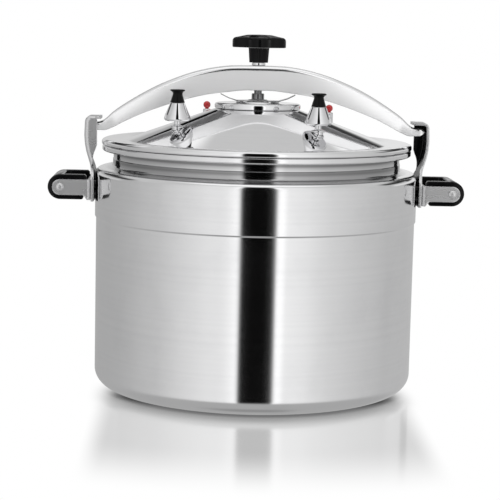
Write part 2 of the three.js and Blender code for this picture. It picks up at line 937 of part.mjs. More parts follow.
function grips() {
  const half = gripHeight / 2;
  const innerEnd = webOuter + 1.4;
  const bevel = 1.6;
  const side = [
    [innerEnd + 4 + bevel, gripZ - half + bevel],
    ...arc(boltX, gripZ, half - bevel, -90, 90, 12),
    [innerEnd + bevel, gripZ + half - bevel],
    [innerEnd + bevel, gripZ + 2],
  ];
  const block = new THREE.ExtrudeGeometry(outline(side), {
    depth: 2 * (gripHalfWidth - bevel),
    bevelThickness: bevel,
    bevelSize: bevel,
    bevelSegments: 2,
  })
    .rotateX(Math.PI / 2)
    .translate(0, gripHalfWidth - bevel, 0);
  const hollow = plateXY(
    [
      [innerEnd - 3, -gripHalfWidth + 9.5],
      [gripTip - gripBar - 4, -gripHalfWidth + 9.5],
      [gripTip - gripBar, -gripHalfWidth + 13.5],
      [gripTip - gripBar, gripHalfWidth - 13.5],
      [gripTip - gripBar - 4, gripHalfWidth - 9.5],
      [innerEnd - 3, gripHalfWidth - 9.5],
    ],
    gripZ - half - 1,
    gripZ + half + 1,
  );
  const hole = rodY(boltShank + gap, -gripHalfWidth - 1, gripHalfWidth + 1, boltX, gripZ);
  const grip = cut(block, hollow, hole);
  for (const [name, turn] of sides)
    add(`grip_${name}`, toGeometry(grip).rotateZ(turn), "bakelite");
}

// A bolt through each cross bar, its domed head on one plate and a domed nut on the other.
function gripBolts() {
  const face = plateOuter + gap;
  const place = (shape, flip) => shape.rotateX(flip * (Math.PI / 2)).translate(boltX, 0, gripZ);
  for (const [name, turn] of sides) {
    // The head faces the front on both sides, so the left one is mirrored end for end.
    const front = name === "right" ? 1 : -1;
    const bolt = place(
      turned([
        [0, -face - 3.4],
        [boltShank, -face - 3.4],
        [boltShank, face],
        [4.4, face],
        [4.4, face + 0.5],
        [3.4, face + 1.9],
        [1.4, face + 2.6],
        [0, face + 2.7],
      ]),
      front,
    );
    add(`grip_bolt_${name}`, bolt.rotateZ(turn), "mirror");
    const nut = place(
      turned([
        [boltShank + gap, face],
        [4.2, face],
        [4.2, face + 2.2],
        [3.4, face + 3.8],
        [1.6, face + 4.8],
        [0, face + 5],
        [0, face + 3.4 + gap],
        [boltShank + gap, face + 3.4 + gap],
        [boltShank + gap, face],
      ]),
      -front,
    );
    add(`grip_nut_${name}`, nut.rotateZ(turn), "mirror");
  }
}

function rivets() {
  // The wall curves away from a flat head: this is where the head's outer corners clear it.
  const apothem = (bandRadius - wall) * Math.cos(Math.PI / round);
  const inside = Math.sqrt(apothem ** 2 - (rivetSpread + 4) ** 2) - gap;
  for (const [name, turn] of sides)
    rivetPlaces.forEach(([y, z], i) => {
      const rivet = turned(
        [
          [0, inside - 1.7],
          [3.2, inside - 1.7],
          [4, inside - 0.9],
          [4, inside],
          [rivetShank, inside],
          [rivetShank, webOuter + gap],
          [4, webOuter + gap],
          [3.5, webOuter + gap + 1.3],
          [1.6, webOuter + gap + 2.1],
          [0, webOuter + gap + 2.2],
        ],
        8,
      )
        .rotateY(Math.PI / 2)
        .translate(0, y, z)
        .rotateZ(turn);
      add(`rivet_${name}_${i + 1}`, rivet, "steel");
    });
}

potBody();
lidShell();
lidGasket();
lidDisc();
leafSpring();
bridge();
bridgeBush();
pressureFoot();
clampScrew();
screwCollar();
knob();
vents();
indicators();
hooks();
brackets();
grips();
gripBolts();
rivets();

export default canner;
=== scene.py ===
import json
import math

import bmesh
import bpy
from mathutils import Matrix, Vector

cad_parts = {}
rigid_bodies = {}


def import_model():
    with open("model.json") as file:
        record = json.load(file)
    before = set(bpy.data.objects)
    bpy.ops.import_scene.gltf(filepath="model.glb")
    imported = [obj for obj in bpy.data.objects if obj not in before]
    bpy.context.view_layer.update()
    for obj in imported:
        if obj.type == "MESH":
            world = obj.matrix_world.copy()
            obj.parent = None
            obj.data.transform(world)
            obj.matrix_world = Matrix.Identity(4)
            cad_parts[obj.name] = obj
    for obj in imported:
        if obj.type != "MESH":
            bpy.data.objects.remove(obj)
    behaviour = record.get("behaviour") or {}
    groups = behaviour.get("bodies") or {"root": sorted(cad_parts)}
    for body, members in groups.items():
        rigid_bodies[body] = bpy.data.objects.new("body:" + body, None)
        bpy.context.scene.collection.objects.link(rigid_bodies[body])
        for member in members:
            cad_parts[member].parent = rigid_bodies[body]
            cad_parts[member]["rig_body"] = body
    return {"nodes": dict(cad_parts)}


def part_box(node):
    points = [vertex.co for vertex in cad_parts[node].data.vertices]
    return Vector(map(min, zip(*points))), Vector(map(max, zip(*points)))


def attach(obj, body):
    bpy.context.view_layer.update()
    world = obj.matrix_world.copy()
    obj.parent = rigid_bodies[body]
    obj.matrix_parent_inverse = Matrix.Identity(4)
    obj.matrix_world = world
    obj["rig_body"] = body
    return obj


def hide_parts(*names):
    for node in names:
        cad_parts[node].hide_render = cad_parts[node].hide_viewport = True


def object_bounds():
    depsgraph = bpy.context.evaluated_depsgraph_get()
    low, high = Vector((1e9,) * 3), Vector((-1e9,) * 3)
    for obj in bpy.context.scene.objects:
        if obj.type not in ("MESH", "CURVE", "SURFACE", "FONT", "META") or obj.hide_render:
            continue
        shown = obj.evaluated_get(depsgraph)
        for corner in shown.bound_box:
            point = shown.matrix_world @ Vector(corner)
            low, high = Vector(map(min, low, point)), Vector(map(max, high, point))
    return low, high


# Looks of a bridge-clamp pressure canner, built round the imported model.
# Piece dictionaries are in millimetres, Blender objects in metres.

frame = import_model()
cadLow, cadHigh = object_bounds()
scene = bpy.context.scene
mm = 0.001
fine = 256  # facets of the pot and the lid
small = 56  # facets of the fittings


def span(node):
    # lowest and highest corner of a CAD node, in mm
    low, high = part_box(node)
    return low / mm, high / mm


def middle(node):
    low, high = span(node)
    return (low + high) / 2


def levels(node):
    # foot and top of a CAD node, in mm
    low, high = span(node)
    return low.z, high.z


bandRadius = span("pot_body")[1].x
potTop = span("pot_body")[1].z
lidFoot = potTop + 0.3
crownTop = span("lid_shell")[1].z
discFoot, discTop = levels("lid_disc")
bridgeReach = span("bridge")[1].x
bridgeTop = span("bridge")[1].z
hookTop = span("hook_right")[1].z
hookOuter = span("hook_right")[1].x
gripMiddle = middle("grip_right").z
gripTip = span("grip_right")[1].x


def rounded(points, turn=9):
    # a path of (a, b, fillet) corners with each corner rounded
    out = []
    for i, point in enumerate(points):
        here = Vector(point[:2])
        fillet = point[2] if len(point) > 2 else 0
        if not fillet or i in (0, len(points) - 1):
            out.append(tuple(here))
            continue
        back = Vector(points[i - 1][:2]) - here
        ahead = Vector(points[i + 1][:2]) - here
        angle = math.pi - back.angle(ahead)
        if angle < 0.02:
            out.append(tuple(here))
            continue
        reach = min(fillet * math.tan(angle / 2), back.length * 0.49, ahead.length * 0.49)
        radius = reach / math.tan(angle / 2)
        start = here + back.normalized() * reach
        inward = (back.normalized() + ahead.normalized()).normalized()
        centre = here + inward * (radius / math.cos(angle / 2))
        steps = max(2, math.ceil(math.degrees(angle) / turn))
        sign = 1 if back.x * ahead.y - back.y * ahead.x < 0 else -1
        arm = start - centre
        for k in range(steps + 1):
            a = sign * angle * k / steps
            out.append((
                centre.x + arm.x * math.cos(a) - arm.y * math.sin(a),
                centre.y + arm.x * math.sin(a) + arm.y * math.cos(a),
            ))
    return out


def spread(path, steps):
    # the same path with each stretch cut into steps(length) parts
    out = [path[0]]
    for a, b in zip(path, path[1:]):
        count = steps(math.dist(a, b))
        out += [(a[0] + (b[0] - a[0]) * k / count, a[1] + (b[1] - a[1]) * k / count)
                for k in range(1, count + 1)]
    return out


def makePiece(name, verts, faces, sharp=32, at=(0, 0, 0)):
    # a mesh object from points in mm, its origin at a given place
    mesh = bpy.data.meshes.new(name)
    mesh.from_pydata([tuple(c * mm for c in v) for v in verts], [], faces)
    mesh.validate()
    obj = bpy.data.objects.new(name, mesh)
    scene.collection.objects.link(obj)
    obj.location = Vector(at) * mm
    shade(obj, sharp)
    return obj


def shade(obj, sharp=32):
    obj.data.shade_smooth()
    obj.data.set_sharp_from_angle(angle=math.radians(sharp))


def skinLoops(loops, closed=False, capped=True):
    # faces through equal closed loops of points
    count = len(loops[0])
    verts = [p for loop in loops for p in loop]
    rows = len(loops)
    faces = []
    for s in range(rows if closed else rows - 1):
        for i in range(count):
            j = (i + 1) % count
            a, b = s * count, ((s + 1) % rows) * count
            faces.append((a + i, a + j, b + j, b + i))
    if capped and not closed:
        faces.append(tuple(range(count))[::-1])
        faces.append(tuple(range((rows - 1) * count, rows * count)))
    return verts, faces


def turned(name, profile, segments=small, at=(0, 0), field=None, sharp=32):
    # turns an (r, z) profile about its own upright axis; field(angle, r, z) may bend the radius
    verts, rings = [], []
    for r, z in profile:
        if r < 1e-6:
            rings.append([len(verts)])
            verts.append((0, 0, z))
            continue
        ring = []
        for k in range(segments):
            a = 2 * math.pi * k / segments
            q = field(a, r, z) if field else r
            ring.append(len(verts))
            verts.append((q * math.cos(a), q * math.sin(a), z))
        rings.append(ring)
    faces = []
    pairs = list(zip(rings, rings[1:]))
    if len(rings[0]) > 1:
        pairs.append((rings[-1], rings[0]))
    for low, high in pairs:
        for k in range(segments):
            j = (k + 1) % segments
            if len(low) == 1 and len(high) == 1:
                continue
            if len(low) == 1:
                faces.append((low[0], high[j], high[k]))
            elif len(high) == 1:
                faces.append((low[k], low[j], high[0]))
            else:
                faces.append((low[k], low[j], high[j], high[k]))
    return makePiece(name, verts, faces, sharp, (at[0], at[1], 0))


def addModifier(obj, kind, **values):
    modifier = obj.modifiers.new(kind.title(), kind)
    for key, value in values.items():
        setattr(modifier, key, value)
    return modifier


def settle(obj, sharp=32):
    # applies every modifier to the mesh
    bpy.context.view_layer.update()
    graph = bpy.context.evaluated_depsgraph_get()
    mesh = bpy.data.meshes.new_from_object(obj.evaluated_get(graph))
    obj.modifiers.clear()
    obj.data = mesh
    shade(obj, sharp)
    return obj


def cutWith(obj, *tools):
    for tool in tools:
        addModifier(obj, "BOOLEAN", operation="DIFFERENCE", solver="EXACT", object=tool)
    settle(obj)
    for tool in tools:
        bpy.data.objects.remove(tool)
    return obj


def prism(name, outline, low, high, toPoint, sharp=32):
    # an outline of (a, b) points made thick between two levels
    loops = [[toPoint(a, b, level) for a, b in outline] for level in (low, high)]
    verts, faces = skinLoops(loops)
    obj = makePiece(name, verts, faces, sharp)
    fixNormals(obj)
    return obj


def fixNormals(obj):
    work = bmesh.new()
    work.from_mesh(obj.data)
    bmesh.ops.recalc_face_normals(work, faces=work.faces)
    work.to_mesh(obj.data)
    work.free()


def turnCopy(obj, name, angle):
    # the same piece turned about the pot's axis
    twin = bpy.data.objects.new(name, obj.data.copy())
    scene.collection.objects.link(twin)
    twin.data.transform(Matrix.Rotation(angle, 4, "Z"))
    return twin


def newGroup(name, inputs, outputs):
    group = bpy.data.node_groups.new(name, "ShaderNodeTree")
    for label, kind, default in inputs:
        socket = group.interface.new_socket(label, in_out="INPUT", socket_type=kind)
        socket.default_value = default
    for label, kind in outputs:
        group.interface.new_socket(label, in_out="OUTPUT", socket_type=kind)
    return group, group.nodes.new("NodeGroupInput"), group.nodes.new("NodeGroupOutput")


def feed(tree, socket, value):
    # sets the socket to a constant, or links another socket to it
    if isinstance(value, (int, float, tuple)):
        socket.default_value = value
    else:
        tree.links.new(value, socket)


def feedAll(tree, node, **values):
    for key, value in values.items():
        feed(tree, node.inputs[key.replace("_", " ")], value)


def mathNode(tree, operation, *values):
    node = tree.nodes.new("ShaderNodeMath")
    node.operation = operation
    for socket, value in zip(node.inputs, values):
        feed(tree, socket, value)
    return node.outputs[0]


def rangeNode(tree, value, fromLow, fromHigh, toLow, toHigh, smooth=False):
    node = tree.nodes.new("ShaderNodeMapRange")
    if smooth:
        node.interpolation_type = "SMOOTHSTEP"
    feedAll(tree, node, Value=value, From_Min=fromLow, From_Max=fromHigh, To_Min=toLow, To_Max=toHigh)
    return node.outputs[0]


def rising(tree, value, low, high):
    return rangeNode(tree, value, low, high, 0, 1, True)


def falling(tree, value, low, high):
    return rangeNode(tree, value, low, high, 1, 0, True)


def noiseNode(tree, vector, scale, detail=3, roughness=0.5):
    node = tree.nodes.new("ShaderNodeTexNoise")
    feedAll(tree, node, Vector=vector, Scale=scale, Detail=detail, Roughness=roughness)
    return node.outputs["Fac"]


def stretchNode(tree, vector, *factors):
    node = tree.nodes.new("ShaderNodeVectorMath")
    node.operation = "MULTIPLY"
    feed(tree, node.inputs[0], vector)
    feed(tree, node.inputs[1], factors)
    return node.outputs[0]


def mixColours(tree, factor, low, high):
    node = tree.nodes.new("ShaderNodeMix")
    node.data_type = "RGBA"
    feed(tree, node.inputs["Factor"], factor)
    for value, socket in ((low, node.inputs[6]), (high, node.inputs[7])):
        feed(tree, socket, (*value, 1) if isinstance(value, tuple) else value)
    return node.outputs[2]


def rampNode(tree, value, table):
    # greys through (place, tone) pairs
    node = tree.nodes.new("ShaderNodeValToRGB")
    feed(tree, node.inputs[0], value)
    stops = node.color_ramp.elements
    stops.remove(stops[-1])
    for i, (place, tone) in enumerate(table):
        stop = stops[0] if i == 0 else stops.new(place)
        stop.position = place
        stop.color = (tone, tone, tone, 1)
    return node.outputs[0]


# Fine grooves left by the lathe or the polishing wheel, along one coordinate.
def buildGrooves():
    group, given, result = newGroup(
        "grooves",
        [("Along", "NodeSocketFloat", 0.0), ("Per Metre", "NodeSocketFloat", 2500.0)],
        [("Height", "NodeSocketFloat"), ("Band", "NodeSocketFloat")],
    )
    line = mathNode(group, "MULTIPLY", given.outputs["Along"], given.outputs["Per Metre"])
    heights = []
    for factor, detail in ((1.0, 4), (0.07, 2)):
        noise = group.nodes.new("ShaderNodeTexNoise")
        noise.noise_dimensions = "1D"
        group.links.new(mathNode(group, "MULTIPLY", line, factor), noise.inputs["W"])
        feedAll(group, noise, Scale=1, Detail=detail)
        heights.append(noise.outputs["Fac"])
    group.links.new(heights[0], result.inputs["Height"])
    group.links.new(heights[1], result.inputs["Band"])
    return group


# Smudges and thin random scratches from handling.
def buildHandling():
    group, given, result = newGroup(
        "handling",
        [("Vector", "NodeSocketVector", (0, 0, 0)), ("Smudge Scale", "NodeSocketFloat", 22.0),
         ("Scratch Scale", "NodeSocketFloat", 160.0)],
        [("Smudge", "NodeSocketFloat"), ("Scratch", "NodeSocketFloat")],
    )
    cloud = noiseNode(group, given.outputs["Vector"], given.outputs["Smudge Scale"], 4, 0.6)
    group.links.new(rising(group, cloud, 0.42, 0.72), result.inputs["Smudge"])
    lines = []
    for twist in ((0.9, 0.2, 0.5), (0.3, 1.1, 0.8)):
        turn = group.nodes.new("ShaderNodeVectorRotate")
        turn.rotation_type = "EULER_XYZ"
        feedAll(group, turn, Vector=given.outputs["Vector"], Rotation=twist)
        long = stretchNode(group, turn.outputs[0], 0.12, 1.6, 1.0)
        cell = group.nodes.new("ShaderNodeTexVoronoi")
        cell.feature = "DISTANCE_TO_EDGE"
        feedAll(group, cell, Vector=long, Scale=given.outputs["Scratch Scale"])
        lines.append(rangeNode(group, cell.outputs["Distance"], 0.0, 0.025, 1, 0))
    both = mathNode(group, "MAXIMUM", lines[0], lines[1])
    patch = noiseNode(group, given.outputs["Vector"], 60, 2)
    shown = mathNode(group, "MULTIPLY", both, rangeNode(group, patch, 0.56, 0.74, 0, 0.7))
    group.links.new(shown, result.inputs["Scratch"])
    return group


grooves = buildGrooves()
handling = buildHandling()


def placeGroup(tree, group, **values):
    node = tree.nodes.new("ShaderNodeGroup")
    node.node_tree = group
    feedAll(tree, node, **values)
    return node


def newMaterial(name, **constants):
    material = bpy.data.materials.new(name)
    material.use_nodes = True
    tree = material.node_tree
    shader = tree.nodes["Principled BSDF"]
    feedAll(tree, shader, **constants)
    coords = tree.nodes.new("ShaderNodeTexCoord").outputs["Object"]
    return material, tree, shader, coords


def bumpInto(tree, shader, height, strength, distance):
    node = tree.nodes.new("ShaderNodeBump")
    feedAll(tree, node, Strength=strength, Distance=distance * mm, Height=height)
    tree.links.new(node.outputs["Normal"], shader.inputs["Normal"])


def coordinate(tree, coords, direction):
    # the height, the distance from the upright axis, or one axis, of a point
    if direction == "radius":
        flat = stretchNode(tree, coords, 1, 1, 0)
        node = tree.nodes.new("ShaderNodeVectorMath")
        node.operation = "LENGTH"
        tree.links.new(flat, node.inputs[0])
        return node.outputs["Value"]
    split = tree.nodes.new("ShaderNodeSeparateXYZ")
    tree.links.new(coords, split.inputs[0])
    return split.outputs["XYZ".index(direction)]


# Bare metals. Fine lines run round the upright axis unless "along" says otherwise.
metals = {
    "polishedPot": dict(colour=(0.90, 0.90, 0.905), dull=(0.80, 0.80, 0.81), rough=(0.09, 0.13),
                        perMetre=2600, depth=0.0005, spin=0.6, neck=True, slot="pot_aluminium"),
    "polishedLid": dict(colour=(0.90, 0.90, 0.905), dull=(0.82, 0.82, 0.83), rough=(0.03, 0.055),
                        along="radius", perMetre=2200, depth=0.00015, slot="lid_aluminium"),
    "chromedFittings": dict(colour=(0.88, 0.88, 0.89), dull=(0.78, 0.78, 0.79), rough=(0.03, 0.07),
                            perMetre=3000, depth=0.0002, slot="chrome_fittings"),
    "satinBridge": dict(colour=(0.93, 0.93, 0.935), dull=(0.86, 0.86, 0.865), rough=(0.17, 0.23),
                        perMetre=4200, depth=0.0008, metallic=0.42, buffed=True,
                        slot="bridge_metal"),
    "pressedSteel": dict(colour=(0.70, 0.70, 0.705), dull=(0.60, 0.60, 0.605), rough=(0.26, 0.36),
                         perMetre=3000, depth=0.0005, metallic=0.8, slot="pressed_steel"),
    # a near-black copy of the pressed steel: painted shade for the hooks' inner side
    "paintedShadeSteel": dict(colour=(0.035, 0.035, 0.036), dull=(0.02, 0.02, 0.021), rough=(0.24, 0.34),
                        perMetre=3000, depth=0.0012, slot="pressed_steel"),
    "boltHeads": dict(colour=(0.74, 0.74, 0.745), dull=(0.60, 0.60, 0.605), rough=(0.28, 0.36),
                      perMetre=3000, depth=0.0005, metallic=0.8, slot="chrome_fittings"),
    "darkSteel": dict(colour=(0.26, 0.26, 0.265), dull=(0.10, 0.10, 0.105), rough=(0.09, 0.2),
                      perMetre=3600, depth=0.0015, slot="screw_steel"),
}
# Moulded and rubbery finishes.
mouldings = {
    "blackBakelite": dict(colour=(0.003, 0.003, 0.0032), worn=(0.006, 0.006, 0.0065),
                          rough=(0.13, 0.24), skin=420, depth=0.012, coat=0.0, gloss=0.13, slot="bakelite"),
    "blackCap": dict(colour=(0.003, 0.003, 0.003), worn=(0.005, 0.005, 0.005),
                     rough=(0.30, 0.4), skin=1500, depth=0.01, coat=0.0, gloss=0.15, slot="cap_plastic"),
    "redBall": dict(colour=(0.62, 0.006, 0.010), worn=(0.70, 0.012, 0.016),
                    rough=(0.12, 0.2), skin=500, depth=0.006, coat=0.8, gloss=0.5, slot="red_plastic"),
    "sealRubber": dict(colour=(0.012, 0.012, 0.012), worn=(0.03, 0.03, 0.03),
                       rough=(0.6, 0.75), skin=1800, depth=0.02, coat=0.0, gloss=0.3, slot="seal_rubber"),
}
materials, slots = {}, {}

# Painted shade and painted reflection on the neck: darker bands where it lies under the lid's bead and
# mirrors the pot's shoulder, as (height above the lid's seat in mm, tone).
neckShadeBands = [(-26, 1.0), (-23.5, 0.55), (-20, 0.5), (-17.5, 0.28), (-14.6, 0.36), (-14, 0.8), (-11, 0.6),
             (-9, 0.26), (-7.2, 0.36), (-6.8, 1.0)]


def buildNeckShade():
    # painted shade in darker bands round the neck, masked by height and radius
    group, given, result = newGroup("painted neck shade", [("Vector", "NodeSocketVector", (0, 0, 0))],
                                    [("Tone", "NodeSocketFloat")])
    height = coordinate(group, given.outputs["Vector"], "Z")
    low, high = neckShadeBands[0][0], neckShadeBands[-1][0]
    share = rangeNode(group, height, (potTop + low) * mm, (potTop + high) * mm, 0, 1)
    shadeBands = rampNode(group, share, [((level - low) / (high - low), tone) for level, tone in neckShadeBands])
    inside = falling(group, coordinate(group, given.outputs["Vector"], "radius"),
                     (bandRadius - 14) * mm, (bandRadius - 9) * mm)
    below = rangeNode(group, height, (potTop - 6.9) * mm, (potTop - 6.6) * mm, 1, 0)
    tone = mixColours(group, mathNode(group, "MULTIPLY", inside, below), (1.0, 1.0, 1.0), shadeBands)
    group.links.new(tone, result.inputs["Tone"])
    return group


def buildMetal(name, look):
    material, tree, shader, coords = newMaterial(name, Metallic=look.get("metallic", 1.0))
    along = coordinate(tree, coords, look.get("along", "Z"))
    lines = placeGroup(tree, grooves, Along=along, Per_Metre=look["perMetre"])
    marks = placeGroup(tree, handling, Vector=coords)
    worn = mathNode(tree, "MULTIPLY", lines.outputs["Band"], 0.45)
    worn = mathNode(tree, "ADD", worn, mathNode(tree, "MULTIPLY", marks.outputs["Smudge"], 0.3))
    worn = mathNode(tree, "ADD", worn, mathNode(tree, "MULTIPLY", marks.outputs["Scratch"], 0.2))
    colour = mixColours(tree, worn, look["colour"], look["dull"])
    # the neck's painted shade mixes the colour towards near black
    if look.get("neck"):
        tone = placeGroup(tree, buildNeckShade(), Vector=coords).outputs["Tone"]
        colour = mixColours(tree, tone, (0.02, 0.02, 0.02), colour)
    tree.links.new(colour, shader.inputs["Base Color"])
    rough = rangeNode(tree, worn, 0.1, 0.9, *look["rough"])
    tree.links.new(rough, shader.inputs["Roughness"])
    height = mathNode(tree, "SUBTRACT", lines.outputs["Height"],
                      mathNode(tree, "MULTIPLY", marks.outputs["Scratch"], 0.2))
    bumpInto(tree, shader, height, 0.5, look["depth"])
    if look.get("buffed"):
        # the rounded edges are polished, the flat front stays satin
        normal = tree.nodes.new("ShaderNodeNewGeometry").outputs["Normal"]
        turnUp = mathNode(tree, "ABSOLUTE", coordinate(tree, normal, "Z"))
        polish = rising(tree, turnUp, 0.06, 0.22)
        tree.links.new(rangeNode(tree, polish, 0, 1, look["metallic"], 0.95), shader.inputs["Metallic"])
        tree.links.new(mathNode(tree, "MULTIPLY", rough, rangeNode(tree, polish, 0, 1, 1, 0.6)),
                       shader.inputs["Roughness"])
    if look.get("spin"):
        feedAll(tree, shader, Anisotropic=look["spin"], Anisotropic_Rotation=0.25)
        tangent = tree.nodes.new("ShaderNodeTangent")
        tangent.direction_type = "RADIAL"
        tangent.axis = "Z"
        tree.links.new(tangent.outputs[0], shader.inputs["Tangent"])
    return material


def buildMoulding(name, look):
    material, tree, shader, coords = newMaterial(name, Metallic=0.0, Specular_IOR_Level=look["gloss"])
    feedAll(tree, shader, Coat_Weight=look["coat"], Coat_Roughness=0.08)
    marks = placeGroup(tree, handling, Vector=coords, Smudge_Scale=45.0, Scratch_Scale=260.0)
    worn = mathNode(tree, "MAXIMUM", mathNode(tree, "MULTIPLY", marks.outputs["Smudge"], 0.5),
                    mathNode(tree, "MULTIPLY", marks.outputs["Scratch"], 0.8))
    tree.links.new(mixColours(tree, worn, look["colour"], look["worn"]), shader.inputs["Base Color"])
    tree.links.new(rangeNode(tree, worn, 0, 1, *look["rough"]), shader.inputs["Roughness"])
    bumpInto(tree, shader, noiseNode(tree, coords, look["skin"]), 0.4, look["depth"])
    return material


for key, look in metals.items():
    materials[key], slots[key] = buildMetal(key, look), look["slot"]
for key, look in mouldings.items():
    materials[key], slots[key] = buildMoulding(key, look), look["slot"]
print("materials ready")


def fitBeside(obj, material, node):
    # gives a piece its material, and puts it on the body that carries a CAD node
    if not obj.data.materials:
        obj.data.materials.append(materials[material])
    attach(obj, frame["nodes"][node]["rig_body"])
    return obj


def fit(obj, material, node):
    # the same for a piece that takes the CAD node's place
    fitBeside(obj, material, node)
    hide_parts(node)
    return obj


def fitPair(obj, twinName, material, node):
    # a piece on the right and its turned twin on the left
    twin = turnCopy(obj, twinName, math.pi)
    fit(obj, material, f"{node}_right")
    fit(twin, material, f"{node}_left")


pot = dict(radius=bandRadius - 1.3, heel=17.5, bandFoot=185.5, shoulder=8.5, neck=bandRadius - 19.5,
           wall=3.0, floor=5.0, rim=bandRadius - 19.5 + 12)


def buildPot():
    r, neck, rim, top = pot["radius"], pot["neck"], pot["rim"], potTop
    profile = rounded([
        (0, 0.9), (118, 0.9, 3), (126, 0, 3), (r, 0, pot["heel"]), (r, pot["bandFoot"] - 0.7, 1.2),
        (bandRadius, pot["bandFoot"] + 0.7, 1.0), (bandRadius, 238.2, pot["shoulder"]),
        (neck + 7, 239.2, 5), (neck + 1.2, 240.4, 1.5), (neck + 0.4, 242, 1.2),
        (neck + 0.4, 248.6, 0.5), (neck - 0.2, 249.3, 0.5), (neck - 0.2, top - 7.4, 1.0),
        (neck + 0.9, top - 6.4, 0.6), (rim, top - 6.4, 1.8), (rim, top - 0.2, 1.7),
        (rim - 3.5, top, 1), (neck - 2.4, top, 0.6), (neck - 3, top - 0.6, 0.6),
        (neck - 3, 241, 4), (neck + 5.4, 236.1, 4), (bandRadius - 3, 235, 6),
        (bandRadius - 3, pot["bandFoot"] + 0.7, 1), (r - 3, pot["bandFoot"] - 0.7, 1),
        (r - 3, pot["floor"], 15), (0, pot["floor"]),
    ], 7)
    fit(turned("potBody", profile, fine, sharp=40), "polishedPot", "pot_body")


# A shallow cone with a flat crown, and a low round rim outside the cone's foot.
lid = dict(bead=bandRadius - 6.8, foot=bandRadius - 32.3, footTop=lidFoot + 4.75, crown=46.0,
           crownTop=crownTop - 1.1, rim=6.45, sheet=3.2, ring=23.2, disc=47.0)


def coneLevel(r):
    # height of the cone's outside at a distance from the axis
    share = (r - lid["crown"]) / (lid["foot"] - lid["crown"])
    return lid["crownTop"] + (lid["footTop"] - lid["crownTop"]) * share


def buildLid():
    bead, rimTop, neck = lid["bead"], lidFoot + lid["rim"], pot["neck"]
    crown, crownZ, sheet = lid["crown"], lid["crownTop"], lid["sheet"]
    coneFoot, coneFootZ = lid["foot"], lid["footTop"]
    profile = rounded([
        (0, crownTop - sheet - 0.9), (crown - 3.6, crownZ - sheet + 1.3, 2),
        (coneFoot - 1, coneFootZ - sheet, 2),
        (neck - 7, coneFootZ - sheet - 1.4, 1), (neck - 7, lidFoot - 2.6, 0.6),
        (neck - 3.8, lidFoot - 2.6, 0.6),
        (neck - 3.8, lidFoot + 3.75), (bead - 4.1, lidFoot + 3.75), (bead - 4.1, lidFoot, 0.4),
        (bead, lidFoot, 1.4), (bead, rimTop - 1.9, 2.6), (bead - 3.2, rimTop - 0.3, 3.4),
        (bead - 10.5, rimTop, 9), (coneFoot + 4.5, coneFootZ + 0.6, 8), (coneFoot, coneFootZ, 8),
        (crown - 0.5, crownZ + 0.1, 1.6), (crown - 3.2, crownTop, 1), (0, crownTop),
    ], 6)
    fit(turned("lidShell", profile, fine, sharp=40), "polishedLid", "lid_shell")

    edge, ring = lid["disc"], lid["ring"]
    profile = rounded([
        (0, discFoot + 1), (crown - 2.4, discFoot + 1, 0.3), (crown - 1.6, discFoot, 0.3),
        (edge - 0.5, discFoot, 0.6), (edge, discFoot + 1.2, 1), (edge, discTop - 2.4, 2),
        (edge - 3, discTop - 1.5, 2), (ring + 1.2, discTop - 1.5, 1.2), (ring + 0.2, discTop - 0.1, 0.8),
        (ring - 1.6, discTop - 0.1, 0.8), (ring - 3.2, discTop - 0.9, 1), (12.4, discTop - 0.9, 0.6),
        (11.4, discTop, 0.6), (0, discTop),
    ], 9)
    fit(turned("lidDisc", profile, 160), "polishedLid", "lid_disc")


# A flat spring on the disc, its two ends sprung up under the bridge.
leaf = dict(thick=0.9, level=0.35, tipInset=1.6, hole=11.2, widths=((0, 15), (9, 14.6), (22, 8), (43, 5.2)))


def buildLeafSpring():
    ring = lid["ring"]
    tipZ = span("leaf_spring")[1].z - leaf["thick"]
    level = discTop + leaf["level"]
    rise = tipZ - level
    path = rounded([(0, level), (ring, level, 9), (ring + 9.5, level + 0.42 * rise, 20),
                    (ring + 17.6, tipZ)], 3)
    arm = spread(path, lambda length: 4)
    path = [(-x, z) for x, z in arm[:0:-1]] + arm
    table = leaf["widths"]

    def halfWidth(x):
        x = abs(x)
        for (x0, w0), (x1, w1) in zip(table, table[1:]):
            if x <= x1:
                share = (x - x0) / (x1 - x0)
                return w0 + (w1 - w0) * (3 * share ** 2 - 2 * share ** 3)
        return table[-1][1]

    loops = []
    for i, (x, z) in enumerate(path):
        half = halfWidth(x) - (leaf["tipInset"] if i in (0, len(path) - 1) else 0)
        low, high = z, z + leaf["thick"]
        loops.append([(x, -half, low), (x, half, low), (x, half, high), (x, -half, high)])
    verts, faces = skinLoops(loops)
    obj = makePiece("leafSpring", verts, faces)
    fixNormals(obj)
    hole = leaf["hole"]
    cutWith(obj, turned("springHole", [(0, level - 5), (hole, level - 5), (hole, level + 5),
                                       (0, level + 5)]))
    fit(obj, "darkSteel", "leaf_spring")


bridge = dict(half=18.0, tongueHalf=10.5, tongueTop=287.3, tongueFoot=278.8, foot=325.3, wall=4.0,
              edge=5.4, tongueEdge=3.0, bush=10.0, stations=60, tongueStart=0.86, tipStart=0.985,
              tipInset=1.4, roof=6)
upperLine = [(0, 1), (0.08, 1), (0.18, 0.988), (0.3, 0.934), (0.42, 0.842), (0.535, 0.716),
             (0.61, 0.619), (0.7, 0.479), (0.79, 0.32), (0.86, 0.18), (0.905, 0.06), (0.93, 0.016),
             (0.955, 0), (0.98, 0), (1, -0.03)]
lowerLine = [(0, 1), (0.08, 1), (0.18, 0.956), (0.3, 0.888), (0.42, 0.774), (0.535, 0.632),
             (0.61, 0.526), (0.7, 0.386), (0.79, 0.216), (0.86, 0.07), (0.905, 0), (0.93, 0),
             (0.955, 0), (0.98, 0.01), (1, 0.07)]


